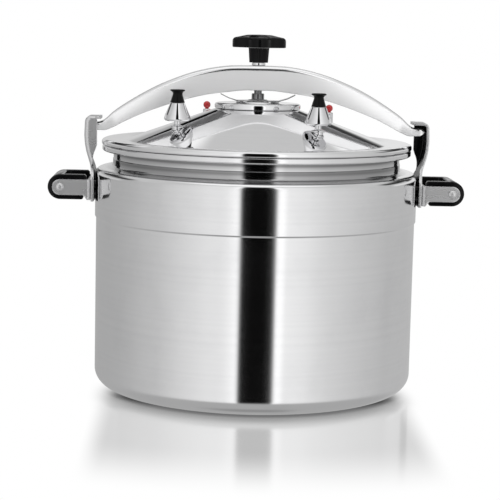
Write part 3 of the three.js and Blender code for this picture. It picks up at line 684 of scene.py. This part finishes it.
def smoothLine(table, s):
    # a smooth curve through (share, level) points, flat at the first
    points = [(-table[1][0], table[1][1])] + list(table) + [(2 * table[-1][0] - table[-2][0], table[-1][1])]
    for i in range(1, len(points) - 2):
        (x0, y0), (x1, y1), (x2, y2), (x3, y3) = points[i - 1:i + 3]
        if s <= x2 + 1e-9:
            t = (s - x1) / (x2 - x1)
            m1 = (y2 - y0) / (x2 - x0) * (x2 - x1)
            m2 = (y3 - y1) / (x3 - x1) * (x2 - x1)
            return ((2 * t ** 3 - 3 * t ** 2 + 1) * y1 + (t ** 3 - 2 * t ** 2 + t) * m1
                    + (3 * t ** 2 - 2 * t ** 3) * y2 + (t ** 3 - t ** 2) * m2)
    return table[-1][1]


def bridgeSection(x, s):
    # the bridge's outline across it, at a share of its reach; hollow underneath between bush and tongues
    b = bridge
    high = b["tongueTop"] + smoothLine(upperLine, s) * (bridgeTop - b["tongueTop"])
    low = b["tongueFoot"] + smoothLine(lowerLine, s) * (b["foot"] - b["tongueFoot"])
    ease = min(1, s / b["tongueStart"]) ** 2
    half = b["half"] + (b["tongueHalf"] - b["half"]) * ease
    if s > b["tipStart"]:
        half -= b["tipInset"] * ((s - b["tipStart"]) / (1 - b["tipStart"])) ** 2
    edge = b["edge"] + (b["tongueEdge"] - b["edge"]) * ease
    hollow = max(0.0, min(1, (abs(x) - 15) / 12, (0.8 * bridgeReach - abs(x)) / 16))
    depth = 0.3 + hollow * max(0, high - low - b["roof"])
    corner = min(3, depth * 0.8)
    inner = half - b["wall"]
    outer = rounded([(-half + 1.2, low), (-half, low, 1.0), (-half, high, edge), (half, high, edge),
                     (half, low, 1.0), (half - 1.2, low)], 18)
    under = rounded([(inner, low), (inner, low + depth, corner), (-inner, low + depth, corner),
                     (-inner, low)], 30)
    return [(x, y, z) for y, z in outer + under]


def buildBridge():
    b = bridge
    loops = []
    for i in range(-b["stations"], b["stations"] + 1):
        # the stations stand closer together towards the ends
        share = abs(i) / b["stations"]
        s = math.sin(share * math.pi / 2) * 0.35 + share * 0.65
        loops.append(bridgeSection(math.copysign(s * bridgeReach, i), s))
    if len({len(loop) for loop in loops}) > 1:
        raise ValueError("bridge sections differ in their number of points")
    verts, faces = skinLoops(loops)
    obj = makePiece("bridge", verts, faces)
    fixNormals(obj)
    cutWith(obj, turned("bushHole", [(0, 300), (b["bush"] + 0.3, 300), (b["bush"] + 0.3, 370), (0, 370)]))
    shade(obj, 30)
    fit(obj, "satinBridge", "bridge")
    bore = middle("clamp_screw")
    profile = rounded([(6.6, b["foot"] + 0.6, 0), (b["bush"], b["foot"] + 0.6, 0.5),
                       (b["bush"], bridgeTop - 0.4, 0.6), (6.6, bridgeTop - 0.4, 0)], 20)
    fit(turned("bridgeBush", profile, at=(bore.x, bore.y)), "darkSteel", "bridge_bush")


knob = dict(lobes=5, radius=30.0, scallop=3.4, hubLow=10.2, hubHigh=11.3, flute=1.5, fluteHalf=1.15,
            headRise=16.3, step=2.2)


def buildScrew():
    foot = levels("pressure_foot")[0]
    profile = rounded([(0, foot), (10.3, foot, 0.4), (10.3, foot + 1.8, 0.5), (6.9, foot + 2.0, 0.8),
                       (6.8, foot + 8.3, 0.8), (4.5, foot + 8.6, 0.3), (4.5, foot + 4), (0, foot + 4)], 15)
    obj = fit(turned("pressureFoot", profile), "darkSteel", "pressure_foot")
    obj.visible_glossy = False

    low, high = levels("clamp_screw")
    pitch, steps, crest, groove = 2.0, 12, 6.3, 0.9
    threadFoot, threadTop = bridge["foot"] + 3, bridgeTop
    rows = [(0, low), (3.2, low), (4.2, low + 1), (4.2, bridge["foot"] + 0.9)]
    count = round((threadTop - threadFoot) / pitch * steps)
    rows += [(crest, threadFoot + (threadTop - threadFoot) * k / count) for k in range(count + 1)]
    rows += [(crest, high - 1.3), (5.1, high), (0, high)]

    def thread(angle, r, z):
        if r < crest or not threadFoot < z < threadTop:
            return r
        phase = ((z / pitch - angle / (2 * math.pi)) % 1) * 2 - 1
        fade = min(1, (z - threadFoot) / pitch, (threadTop - z) / pitch)
        return r - groove * fade * (1 - abs(phase))

    obj = fit(turned("clampScrew", rows, 48, field=thread), "darkSteel", "clamp_screw")
    obj.visible_glossy = False
    low, high = levels("screw_collar")
    profile = rounded([(6.6, low), (7.4, low, 0.5), (7.4, high, 0.5), (6.6, high)], 20)
    obj = fit(turned("screwCollar", profile), "chromedFittings", "screw_collar")
    obj.visible_glossy = False


def buildKnob():
    k = knob
    foot, top = levels("knob")
    head = foot + k["headRise"]
    outline = rounded([
        (6.7, foot + 18), (6.7, foot + 0.4, 0.3), (7, foot, 0.3), (k["hubLow"], foot, 0.6),
        (k["hubHigh"], head - 0.4, 0.8), (k["radius"] - 0.4, head, 1.2), (k["radius"], head + 1.2, 1.2),
        (k["radius"], top - 4.0, 4.2), (k["radius"] * 0.45, top - 0.5, 20), (0, top),
    ], 8)
    # finer rings along the long flat parts
    dense = spread(outline, lambda length: max(1, math.ceil(length / k["step"])))

    def lobes(angle, r, z):
        wave = math.cos(k["lobes"] * (angle + math.pi / 2))
        if z > head - 0.2:
            share = max(0, (r - k["hubHigh"]) / (k["radius"] - k["hubHigh"]))
            # broad rounded lobes with narrower hollows between them
            shape = (1 - wave) / 2
            return r - 2 * k["scallop"] * share * shape ** 1.3
        if r > 8.5:
            near = ((angle + math.pi / 2) * k["lobes"] / (2 * math.pi) + 0.5) % 1 - 0.5
            width = near * 2 * math.pi / k["lobes"] * r
            return r - k["flute"] * math.exp(-(width / k["fluteHalf"]) ** 4)
        return r

    obj = fit(turned("knob", [(0, foot + 18)] + dense, 240, field=lobes, sharp=40), "blackBakelite", "knob")
    obj.visible_glossy = False  # keeps the mirror-bright cone clean in front


def fittedFlange(name, profile, at):
    # a flange whose underside follows the cone a hair above it
    lift = 0.35
    foot, crown = lid["foot"], lid["crown"]
    cone = turned("coneBody", [(0, crownTop - 50), (foot, crownTop - 50), (foot, lid["footTop"] + lift),
                               (crown, lid["crownTop"] + lift), (0, lid["crownTop"] + lift)], fine)
    return cutWith(turned(name, profile, at=at), cone)


vent = dict(flange=7.5, stem=3.35, bell=14.25, capFoot=7.8, capWaist=5.1, capTop=7.9)


def buildVents():
    for side in ("left", "right"):
        at = tuple(middle(f"vent_post_{side}"))[:2]
        postLow, postHigh = levels(f"vent_post_{side}")
        bellLow, bellHigh = levels(f"weight_bell_{side}")
        seat = coneLevel(math.hypot(*at))
        profile = rounded([
            (1.5, postLow), (4.2, postLow, 0.3), (4.2, seat + 3.4, 0.4), (vent["stem"], seat + 4.4, 0.6),
            (vent["stem"], postHigh - 1.7, 0.5), (2.2, postHigh), (1.5, postHigh),
        ], 15)
        fit(turned(f"ventPost_{side}", profile, at=at), "chromedFittings", f"vent_post_{side}")
        wide, top = vent["flange"], seat + 3.1
        profile = rounded([(4.3, seat - 4), (5.6, seat - 4), (5.6, top - 2.4, 0.2), (wide, top - 2.1, 0.5),
                           (wide, top - 0.7, 0.6), (wide - 1.4, top, 0.8), (4.3, top)], 15)
        fitBeside(fittedFlange(f"ventFlange_{side}", profile, at), "chromedFittings", f"vent_post_{side}")
        under = span(f"weight_needle_{side}")[1].z + 0.3
        profile = rounded([
            (0, under), (4.1, under, 0.3), (4.1, bellLow, 0.3), (12.6, bellLow, 0.8),
            (vent["bell"], bellLow + 2.0, 2.2), (vent["bell"] - 1.1, bellLow + 6.4, 8),
            (vent["capFoot"], bellHigh, 0.6), (0, bellHigh),
        ], 10)
        fit(turned(f"weightBell_{side}", profile, 96, at), "chromedFittings", f"weight_bell_{side}")
        low, high = levels(f"weight_cap_{side}")
        tall = high - low
        profile = rounded([
            (0, low), (vent["capFoot"], low, 0.3), (vent["capFoot"] - 0.2, low + 0.9, 0.4),
            (vent["capWaist"] + 0.2, low + 0.6 * tall, 3), (vent["capWaist"], low + 0.7 * tall, 2),
            (vent["capWaist"] + 0.7, low + 0.81 * tall, 1.4), (vent["capTop"], low + 0.89 * tall, 0.6),
            (vent["capTop"], high - 0.2, 0.5), (6.6, high, 0.5), (5.4, high - 0.7, 0.5), (0, high - 0.7),
        ], 12)
        fit(turned(f"weightCap_{side}", profile, 72, at), "blackCap", f"weight_cap_{side}")


indicator = dict(body=4.4, flange=5.7, ball=4.15, stem=2.0, steps=22)


def buildIndicators():
    body, wide = indicator["body"], indicator["flange"]
    for side in ("left", "right"):
        at = tuple(middle(f"indicator_housing_{side}"))[:2]
        low, high = levels(f"indicator_housing_{side}")
        seat = coneLevel(math.hypot(*at))
        profile = rounded([
            (2.3, low), (4.2, low, 0.3), (4.2, seat + 3.4, 0.2), (body, seat + 3.6, 0.2),
            (body, high - 1.2, 0.6), (3.6, high, 0.5), (2.3, high),
        ], 15)
        fit(turned(f"indicatorHousing_{side}", profile, at=at), "chromedFittings",
            f"indicator_housing_{side}")
        profile = rounded([(4.5, seat - 4), (wide, seat - 4), (wide, seat + 2.8, 0.6), (5, seat + 3.5, 0.5),
                           (4.5, seat + 3.5)], 15)
        fitBeside(fittedFlange(f"indicatorFlange_{side}", profile, at), "chromedFittings",
                  f"indicator_housing_{side}")
        pinLow, pinHigh = levels(f"indicator_pin_{side}")
        ball, stem, steps = indicator["ball"], indicator["stem"], indicator["steps"]
        centre = pinHigh - ball
        start = math.asin(stem / ball) - math.pi / 2
        profile = [(0, pinLow), (stem - 0.3, pinLow), (stem, pinLow + 0.4), (stem, centre - ball * 0.93)]
        for k in range(steps):
            a = start + (math.pi / 2 - start) * k / steps
            profile.append((ball * math.cos(a), centre + ball * math.sin(a)))
        profile.append((0, pinHigh))
        fit(turned(f"indicatorPin_{side}", profile, 48, at), "redBall", f"indicator_pin_{side}")


hook = dict(sheet=3.0, footHalf=31.5, half=14.0, bend=4.0, depth=14.0, lipBend=7.0, lipReach=16.6,
            lipDrop=4.2, foot=230.0, flareLow=226.0, flareTop=246.0, flangeLow=240.0, taper=24.0,
            fullFlange=262.0, bevel=0.55)
# The hook's back from its foot to its lip, as (share of its lean, share of its rise).
hookLine = [(0.02, 0.03), (0.17, 0.17), (0.46, 0.31), (0.74, 0.46), (0.92, 0.61), (1, 0.77), (0.97, 0.92)]


def pathNormals(path):
    out = []
    for i in range(len(path)):
        a = Vector(path[max(i - 1, 0)])
        b = Vector(path[min(i + 1, len(path) - 1)])
        d = (b - a).normalized()
        out.append(Vector((-d.y, d.x)))  # towards the pot for a path that runs upwards outside it
    return out


def smoother(t):
    t = max(0, min(1, t))
    return t * t * (3 - 2 * t)


def thicken(obj, sheet, offset, bevel, **more):
    # a sheet made solid, with its edges taken off
    addModifier(obj, "SOLIDIFY", thickness=sheet * mm, offset=offset, use_even_offset=True, **more)
    addModifier(obj, "BEVEL", width=bevel * mm, segments=2, limit_method="ANGLE",
                angle_limit=math.radians(50))
    settle(obj, 35)


def hookPath():
    h = hook
    back = bandRadius + 0.3 + h["sheet"]
    lean = hookOuter - back
    bendOuter = h["lipBend"] + h["sheet"] / 2
    rise = hookTop - bendOuter - h["foot"]
    outer = [(back, span("hook_right")[0].z), (back, h["foot"] - 2)]
    outer += [(back + share * lean, h["foot"] + height * rise, 14) for share, height in hookLine]
    outer += [(hookOuter - 0.7, hookTop, bendOuter), (hookOuter - h["lipReach"] - 1.5, hookTop)]
    return spread(rounded(outer, 9), lambda length: max(1, math.ceil(length / 2.4)))


def buildHooks():
    h = hook
    path = hookPath()
    edge = hookOuter - h["depth"]
    bend, bendSteps, flangeSteps, webSteps = h["bend"], 5, 6, 8
    flanged = [i for i, (x, z) in enumerate(path) if z > h["flangeLow"] and x > edge + 1.2]
    first, last = flanged[0], flanged[-1]
    full = next(i for i, (x, z) in enumerate(path) if z >= h["fullFlange"])
    verts, rows = [], []
    for i, ((x, z), n) in enumerate(zip(path, pathNormals(path))):
        flare = smoother((z - h["flareLow"]) / (h["flareTop"] - h["flareLow"]))
        half = h["half"] if x < edge + 1.2 else h["footHalf"] + (h["half"] - h["footHalf"]) * flare
        straight = half - bend
        row = [(x, -half + (straight + half) * k / webSteps, z) for k in range(webSteps + 1)]
        # the sheet turns down into the flange over a short height
        turn = (math.pi / 2) * smoother((z - h["flangeLow"] + 5) / 11) if i <= last else 0
        for k in range(1, bendSteps + 1):
            y, drop = straight + bend * k / bendSteps, 0
            if turn >= 0.02:
                r = bend / turn * (1 + 0.57 * turn / (math.pi / 2))
                a = turn * k / bendSteps
                y = straight + r * math.sin(a) * min(1, bend / (r * math.sin(turn)))
                drop = r * (1 - math.cos(a))
            row.append((x + n.x * drop, y, z + n.y * drop))
        if first <= i <= last:
            bx, by, bz = row[-1]
            goalX = bx + (edge - bx) * max(0.08, smoother((z - h["flangeLow"]) / h["taper"]))
            goalZ = bz
            if z >= h["fullFlange"]:
                climb = (i - full) / max(1, last - full)
                goalZ = h["fullFlange"] + (hookTop - h["lipDrop"] - h["fullFlange"]) * climb
            row += [(bx + (goalX - bx) * k / flangeSteps, by, bz + (goalZ - bz) * k / flangeSteps)
                    for k in range(1, flangeSteps + 1)]
        rows.append([len(verts) + k for k in range(len(row))])
        verts += row
    faces = [(a[k], a[k + 1], b[k + 1], b[k])
             for a, b in zip(rows, rows[1:]) for k in range(min(len(a), len(b)) - 1)]
    obj = makePiece("hook_right_body", verts, faces)
    fixNormals(obj)
    # the sheet's thickness lies inside the outline just drawn, and its inner side gets a near-black copy of
    # the steel as painted shade
    faceOut = sum((p.normal.x for p in obj.data.polygons), 0.0) > 0
    for material in ("pressedSteel", "paintedShadeSteel"):
        obj.data.materials.append(materials[material])
    thicken(obj, h["sheet"], -1 if faceOut else 1, h["bevel"], material_offset=1)
    fitPair(obj, "hook_left_body", "pressedSteel", "hook")


handle = dict(sheet=3.0, half=8.4, footDrop=13.6, outer=36.0, bend=3.4, gripHalf=32.7, gripHeight=27.0,
              bar=17.0, arm=9.5, bevel=1.7)


def buildBrackets():
    h = handle
    webInner = span("handle_bracket_right")[0].x
    boltX = gripTip - h["gripHeight"] / 2
    reach = boltX + h["half"]
    plan = rounded([(reach - 0.05, -h["outer"]), (webInner, -h["outer"], h["bend"]),
                    (webInner, h["outer"], h["bend"]), (reach - 0.05, h["outer"])], 10)
    line = spread(plan, lambda length: 26 if length > 12 else 1)
    # finer steps round each plate's end
    ends = [reach - h["half"] * (1 - math.cos(math.radians(a))) for a in range(4, 91, 7)]
    line = ([(x, -h["outer"]) for x in ends] + [p for p in line if p[0] < boltX - 0.5]
            + [(x, h["outer"]) for x in ends[::-1]])
    verts, rows = [], []
    columns = 8
    for x, y in line:
        if x > boltX:
            high = math.sqrt(max(0.1, h["half"] ** 2 - (x - boltX) ** 2))
            low = -high
        else:
            high = h["half"]
            drop = smoother((webInner + 8 - x) / 5)
            low = -h["half"] - (h["footDrop"] - h["half"]) * drop
        rows.append([len(verts) + k for k in range(columns + 1)])
        verts += [(x, y, gripMiddle + low + (high - low) * k / columns) for k in range(columns + 1)]
    faces = [(a[k], a[k + 1], b[k + 1], b[k]) for a, b in zip(rows, rows[1:]) for k in range(columns)]
    obj = makePiece("bracket_right", verts, faces)
    fixNormals(obj)
    web = [p for p in obj.data.polygons if abs(p.center.x / mm - webInner) < 0.5]
    faceOut = sum(p.normal.x for p in web) > 0
    thicken(obj, h["sheet"], 1 if faceOut else -1, 0.5)
    fitPair(obj, "bracket_left", "pressedSteel", "handle_bracket")


def buildGrips():
    h = handle
    start = span("grip_right")[0].x
    half = h["gripHeight"] / 2
    boltX = gripTip - half
    side = [(boltX + half * math.sin(math.radians(a)), gripMiddle - half * math.cos(math.radians(a)))
            for a in range(0, 181, 6)]
    side += [(start + 2.5, gripMiddle + half), (start + 0.7, gripMiddle + half - 0.7),
             (start, gripMiddle + half - 2.5), (start, gripMiddle + 3), (start + 3.8, gripMiddle - half)]
    obj = prism("grip_right_body", side, -h["gripHalf"], h["gripHalf"], lambda x, z, y: (x, y, z))
    inner = h["gripHalf"] - h["arm"]
    hollowEnd = gripTip - h["bar"]
    plan = rounded([(start - 4, -inner), (hollowEnd, -inner, 5), (hollowEnd, inner, 5),
                    (start - 4, inner)], 15)
    hollow = prism("gripHollow", plan, gripMiddle - 30, gripMiddle + 30, lambda x, y, z: (x, y, z))
    cutWith(obj, hollow)
    addModifier(obj, "BEVEL", width=h["bevel"] * mm, segments=4, limit_method="ANGLE",
                angle_limit=math.radians(32), harden_normals=False)
    settle(obj, 40)
    fitPair(obj, "grip_left_body", "blackBakelite", "grip")


def laid(obj, axis, angle, *place):
    # a turned piece tipped over about one axis and moved to its place in mm
    tip = Matrix.Rotation(angle, 4, axis)
    obj.data.transform(Matrix.Translation([c * mm for c in place]) @ tip)
    return obj


fastener = dict(shank=2.5, bolt=4.4, nut=4.2, rivet=4.0, boltDome=2.7, nutDome=5.0)


def buildFasteners():
    # domed bolts through the grips, their nuts, and the rivets of the hooks and brackets
    f = fastener
    for side in ("right", "left"):
        low, high = span(f"grip_bolt_{side}")
        x, z = (low.x + high.x) / 2, (low.z + high.z) / 2
        face = -low.y - f["boltDome"]
        profile = rounded([(0, -face + 6), (f["shank"], -face + 6, 0.2), (f["shank"], face, 0.1),
                           (f["bolt"], face, 0.2), (f["bolt"], face + 0.9, 0.8), (2.6, face + 2.5, 2.6),
                           (0, face + f["boltDome"])], 10)
        bolt = laid(turned(f"gripBolt_{side}", profile, 64), "X", math.pi / 2, x, 0, z)
        fit(bolt, "boltHeads", f"grip_bolt_{side}")
        face = span(f"grip_nut_{side}")[0].y
        profile = [(0, face + 3.7), (2.8, face + 3.7), (2.8, face), (f["nut"], face + 0.2),
                   (f["nut"], face + 2.2), (3.9, face + 3.2), (3.1, face + 4.1), (2.0, face + 4.7),
                   (1, face + 4.95), (0, face + f["nutDome"])]
        nut = laid(turned(f"gripNut_{side}", profile, 48), "X", -math.pi / 2, x, 0, z)
        fit(nut, "boltHeads", f"grip_nut_{side}")
        for k in range(1, 5):
            low, high = span(f"rivet_{side}_{k}")
            inside, outside = sorted((abs(low.x), abs(high.x)))
            head = f["rivet"]
            profile = rounded([(0, inside), (3.2, inside, 0.5), (head, inside + 0.8, 0.4),
                               (head, inside + 1.7, 0.2), (2.2, inside + 1.7), (2.2, outside - 2.2),
                               (head, outside - 2.2, 0.2), (3.9, outside - 1.3, 0.8),
                               (2.2, outside - 0.15, 1.8), (0, outside)], 14)
            tilt = math.pi / 2 if side == "right" else -math.pi / 2
            rivet = laid(turned(f"rivet_{side}_{k}_dome", profile, 32), "Y", tilt,
                         0, (low.y + high.y) / 2, (low.z + high.z) / 2)
            fit(rivet, "darkSteel", f"rivet_{side}_{k}")


for stage, build in (("pot", buildPot), ("lid", buildLid), ("leaf spring", buildLeafSpring),
                     ("bridge", buildBridge), ("screw", buildScrew), ("knob", buildKnob),
                     ("vents", buildVents), ("indicators", buildIndicators), ("hooks", buildHooks),
                     ("brackets", buildBrackets), ("grips", buildGrips), ("fasteners", buildFasteners)):
    build()
    print("built", stage)

# Hidden CAD pieces that stay keep their shape and get a finish.
kept = {"sealRubber": ["lid_gasket"], "darkSteel": []}
for side in ("left", "right"):
    kept["sealRubber"] += [f"vent_seal_{side}", f"indicator_seal_{side}"]
    kept["darkSteel"] += [f"vent_nut_{side}", f"indicator_nut_{side}", f"weight_needle_{side}"]
for material, names in kept.items():
    for name in names:
        mesh = frame["nodes"][name].data
        mesh.materials.clear()
        mesh.materials.append(materials[material])
print("kept pieces finished")


# Brightness all round, from straight ahead of the pot's front: (degrees towards +X, light).
around = [(-180, 0.42), (-154, 0.42), (-129, 0.43), (-112, 0.45), (-98, 0.49), (-86, 0.54), (-74, 0.58),
          (-64, 0.65), (-54, 0.72), (-44, 0.78), (-35, 0.84), (-26, 0.86), (-22, 0.90), (-17.5, 1.0),
          (-14.5, 1.1), (-12.8, 0.9), (-11.6, 0.2), (-10.4, 0.01), (-4, 0.002), (5.5, 0.002), (8, 0.01),
          (11, 0.03), (12.8, 0.4), (14.2, 1.15), (17, 1.2), (21, 0.95), (35, 0.87), (44.6, 0.78),
          (54, 0.71), (75, 0.62), (107, 0.52), (180, 0.5)]
studio = dict(floor=0.42, underneath=0.30, upper=0.60, overhead=1.05, wallLeft=0.64, wallRight=0.8,
              flagEdge=1.0, flagLeft=0.006, flagRight=0.045)
# Where the parts of that light begin and end, along a direction's x, y or z, or its angle in radians.
zones = dict(overhead=(0.82, 0.97), front=(-0.35, -0.1), behind=(0.70, 0.76), backHalf=(0.3, 0.45),
             right=(-0.03, 0.05), flagFoot=(0.15, 0.165), wallFoot=(-0.02, 0.02), wallTop=(0.13, 0.25),
             flagNear=(1.75, 1.95), flagFar=(2.80, 2.88), flagLow=(0.28, 0.34), flagHigh=(0.45, 0.6),
             floor=(-0.62, -0.36), underneath=(-1.0, -0.93))


def mixInto(tree, kind, factor, first, second):
    # two shaders mixed into an output node of one kind
    mix = tree.nodes.new("ShaderNodeMixShader")
    for socket, value in zip(mix.inputs, (factor, first.outputs[0], second.outputs[0])):
        tree.links.new(value, socket)
    tree.links.new(mix.outputs[0], tree.nodes.new(kind).inputs[0])


def buildWorld():
    world = bpy.data.worlds.new("studioLight")
    world.use_nodes = True
    scene.world = world
    tree = world.node_tree
    tree.nodes.clear()
    tone = {key: (value,) * 3 for key, value in studio.items()}
    direction = tree.nodes.new("ShaderNodeTexCoord").outputs["Generated"]
    split = tree.nodes.new("ShaderNodeSeparateXYZ")
    tree.links.new(direction, split.inputs[0])
    x, y, z = split.outputs
    angle = mathNode(tree, "ARCTAN2", x, mathNode(tree, "MULTIPLY", y, -1))
    turn = rangeNode(tree, angle, -math.pi, math.pi, 0, 1)
    sides = rampNode(tree, turn, [((degrees + 180) / 360, light) for degrees, light in around])
    # higher up, an even grey ceiling, and a bright panel overhead
    ceiling = mixColours(tree, rising(tree, z, *zones["overhead"]), tone["upper"], tone["overhead"])
    front = falling(tree, y, *zones["front"])
    start = rangeNode(tree, front, 0, 1, 0.30, 0.74)
    end = rangeNode(tree, front, 0, 1, 0.50, 0.86)
    light = mixColours(tree, rising(tree, z, start, end), sides, ceiling)
    # the bright backdrop behind the pot, and a dark flag above it that is deeper to the left
    right = rising(tree, x, *zones["right"])
    flagFoot = rangeNode(tree, x, *zones["flagFoot"], 0.27, 0.16)
    overFoot = mathNode(tree, "SUBTRACT", z, flagFoot)
    overTop = mathNode(tree, "SUBTRACT", z, rangeNode(tree, right, 0, 1, 0.525, 0.45))
    above = mixColours(tree, falling(tree, overTop, 0.05, 0.10), tone["upper"], tone["flagEdge"])
    dark = mixColours(tree, right, tone["flagLeft"], tone["flagRight"])
    patch = mixColours(tree, rising(tree, overFoot, 0, 0.025), light, dark)
    patch = mixColours(tree, falling(tree, overTop, -0.02, 0.005), above, patch)
    light = mixColours(tree, rising(tree, y, *zones["behind"]), light, patch)
    horizon = mathNode(tree, "MULTIPLY", rising(tree, z, *zones["wallFoot"]),
                       falling(tree, z, *zones["wallTop"]))
    horizon = mathNode(tree, "MULTIPLY", horizon, rising(tree, y, *zones["backHalf"]))
    light = mixColours(tree, horizon, light, mixColours(tree, right, tone["wallLeft"], tone["wallRight"]))
    # dark flags behind to both sides outline the rims
    away = mathNode(tree, "ABSOLUTE", angle)
    flags = mathNode(tree, "MULTIPLY", rising(tree, away, *zones["flagNear"]),
                     falling(tree, away, *zones["flagFar"]))
    flags = mathNode(tree, "MULTIPLY", flags, rising(tree, z, *zones["flagLow"]))
    flags = mathNode(tree, "MULTIPLY", flags, falling(tree, z, *zones["flagHigh"]))
    light = mixColours(tree, flags, light, tone["flagRight"])
    for part in ("floor", "underneath"):
        light = mixColours(tree, falling(tree, z, *zones[part]), light, tone[part])
    lit = tree.nodes.new("ShaderNodeBackground")
    tree.links.new(light, lit.inputs["Color"])
    seen = tree.nodes.new("ShaderNodeBackground")
    feedAll(tree, seen, Color=(1, 1, 1, 1))
    seenDirectly = tree.nodes.new("ShaderNodeLightPath").outputs["Is Camera Ray"]
    mixInto(tree, "ShaderNodeOutputWorld", seenDirectly, lit, seen)


# Metres; each pair is where a mask of the floor begins and ends.
ground = dict(half=6.0, drop=0.0002, mirror=0.5, gloss=0.12, paintedContactShadow=0.05, mirrorAway=(0.30, 0.46),
              mirrorSide=(0.145, 0.172), mirrorDepth=(-0.13, -0.08), shadeSide=(0.145, 0.18),
              shadeDepth=(-0.1, 0.0))


def buildFloor():
    g, size = ground, ground["half"]
    mesh = bpy.data.meshes.new("studioFloor")
    mesh.from_pydata([(-size, -size, 0), (size, -size, 0), (size, size, 0), (-size, size, 0)], [],
                     [(0, 1, 2, 3)])
    floor = bpy.data.objects.new("studioFloor", mesh)
    scene.collection.objects.link(floor)
    floor.location.z = cadLow.z - g["drop"]
    material = bpy.data.materials.new("glossWhite")
    material.use_nodes = True
    tree = material.node_tree
    tree.nodes.clear()
    coords = tree.nodes.new("ShaderNodeTexCoord").outputs["Object"]
    depth = coordinate(tree, coords, "Y")
    sideways = mathNode(tree, "ABSOLUTE", coordinate(tree, coords, "X"))
    # the floor mirrors the pot only on its front side
    away = coordinate(tree, coords, "radius")
    fade = mathNode(tree, "MULTIPLY", rangeNode(tree, away, *g["mirrorAway"], g["mirror"], 0.0, True),
                    falling(tree, sideways, *g["mirrorSide"]))
    fade = mathNode(tree, "MULTIPLY", fade, rangeNode(tree, depth, *g["mirrorDepth"], 1, 0))
    # painted contact shadow: ambient occlusion darkens the floor's glow near the pot
    paintedContactShadow = tree.nodes.new("ShaderNodeAmbientOcclusion")
    paintedContactShadow.samples = 8
    feedAll(tree, paintedContactShadow, Distance=g["paintedContactShadow"])
    tone = mathNode(tree, "POWER", rangeNode(tree, paintedContactShadow.outputs["AO"], 0.0, 0.9, 0.02, 1.0), 1.9)
    # the painted contact shadow is kept to the floor in front of the pot
    near = mathNode(tree, "MULTIPLY", falling(tree, sideways, *g["shadeSide"]),
                    falling(tree, depth, *g["shadeDepth"]))
    glow = tree.nodes.new("ShaderNodeEmission")
    feedAll(tree, glow, Strength=mixColours(tree, near, (1.0, 1.0, 1.0), tone))
    mirror = tree.nodes.new("ShaderNodeBsdfGlossy")
    feedAll(tree, mirror, Roughness=g["gloss"])
    mixInto(tree, "ShaderNodeOutputMaterial", fade, glow, mirror)
    mesh.materials.append(material)
    floor.visible_glossy = False
    floor.visible_diffuse = False
    floor.visible_shadow = False


fill = dict(energy=1.5, spread=50, tip=78, turn=12)


def buildFill():
    # a broad soft light from in front for the satin pieces; the mirrors don't show it
    data = bpy.data.lights.new("frontFill", "SUN")
    data.energy = fill["energy"]
    data.angle = math.radians(fill["spread"])
    lamp = bpy.data.objects.new("frontFill", data)
    scene.collection.objects.link(lamp)
    lamp.rotation_euler = (math.radians(fill["tip"]), 0, math.radians(fill["turn"]))
    lamp.visible_glossy = False


# Angles in degrees, lens in mm, the camera's distance and height in metres.
view = dict(turn=-2, yaw=-0.154, pitch=7.74, roll=1.29, lens=117.99, away=1.8, height=0.3932)


def buildCamera():
    turn = Matrix.Rotation(math.radians(view["turn"]), 3, "Z")
    yaw, pitch, roll = (math.radians(view[key]) for key in ("yaw", "pitch", "roll"))
    forward = Vector((math.sin(yaw) * math.cos(pitch), math.cos(yaw) * math.cos(pitch), -math.sin(pitch)))
    right = Vector((math.cos(yaw), -math.sin(yaw), 0))
    up = right.cross(forward)
    rightRolled = turn @ (right * math.cos(roll) + up * math.sin(roll))
    upRolled = turn @ (up * math.cos(roll) - right * math.sin(roll))
    axes = Matrix((rightRolled, upRolled, -(turn @ forward))).transposed()
    data = bpy.data.cameras.new("frontCamera")
    data.lens, data.sensor_width = view["lens"], 36.0
    data.clip_start, data.clip_end = 0.05, 50
    camera = bpy.data.objects.new("frontCamera", data)
    scene.collection.objects.link(camera)
    place = turn @ Vector((0, -view["away"], view["height"]))
    camera.matrix_world = Matrix.Translation(place) @ axes.to_4x4()
    scene.camera = camera


buildWorld()
buildFloor()
buildFill()
buildCamera()
scene.view_settings.view_transform = "Standard"
print("studio ready")
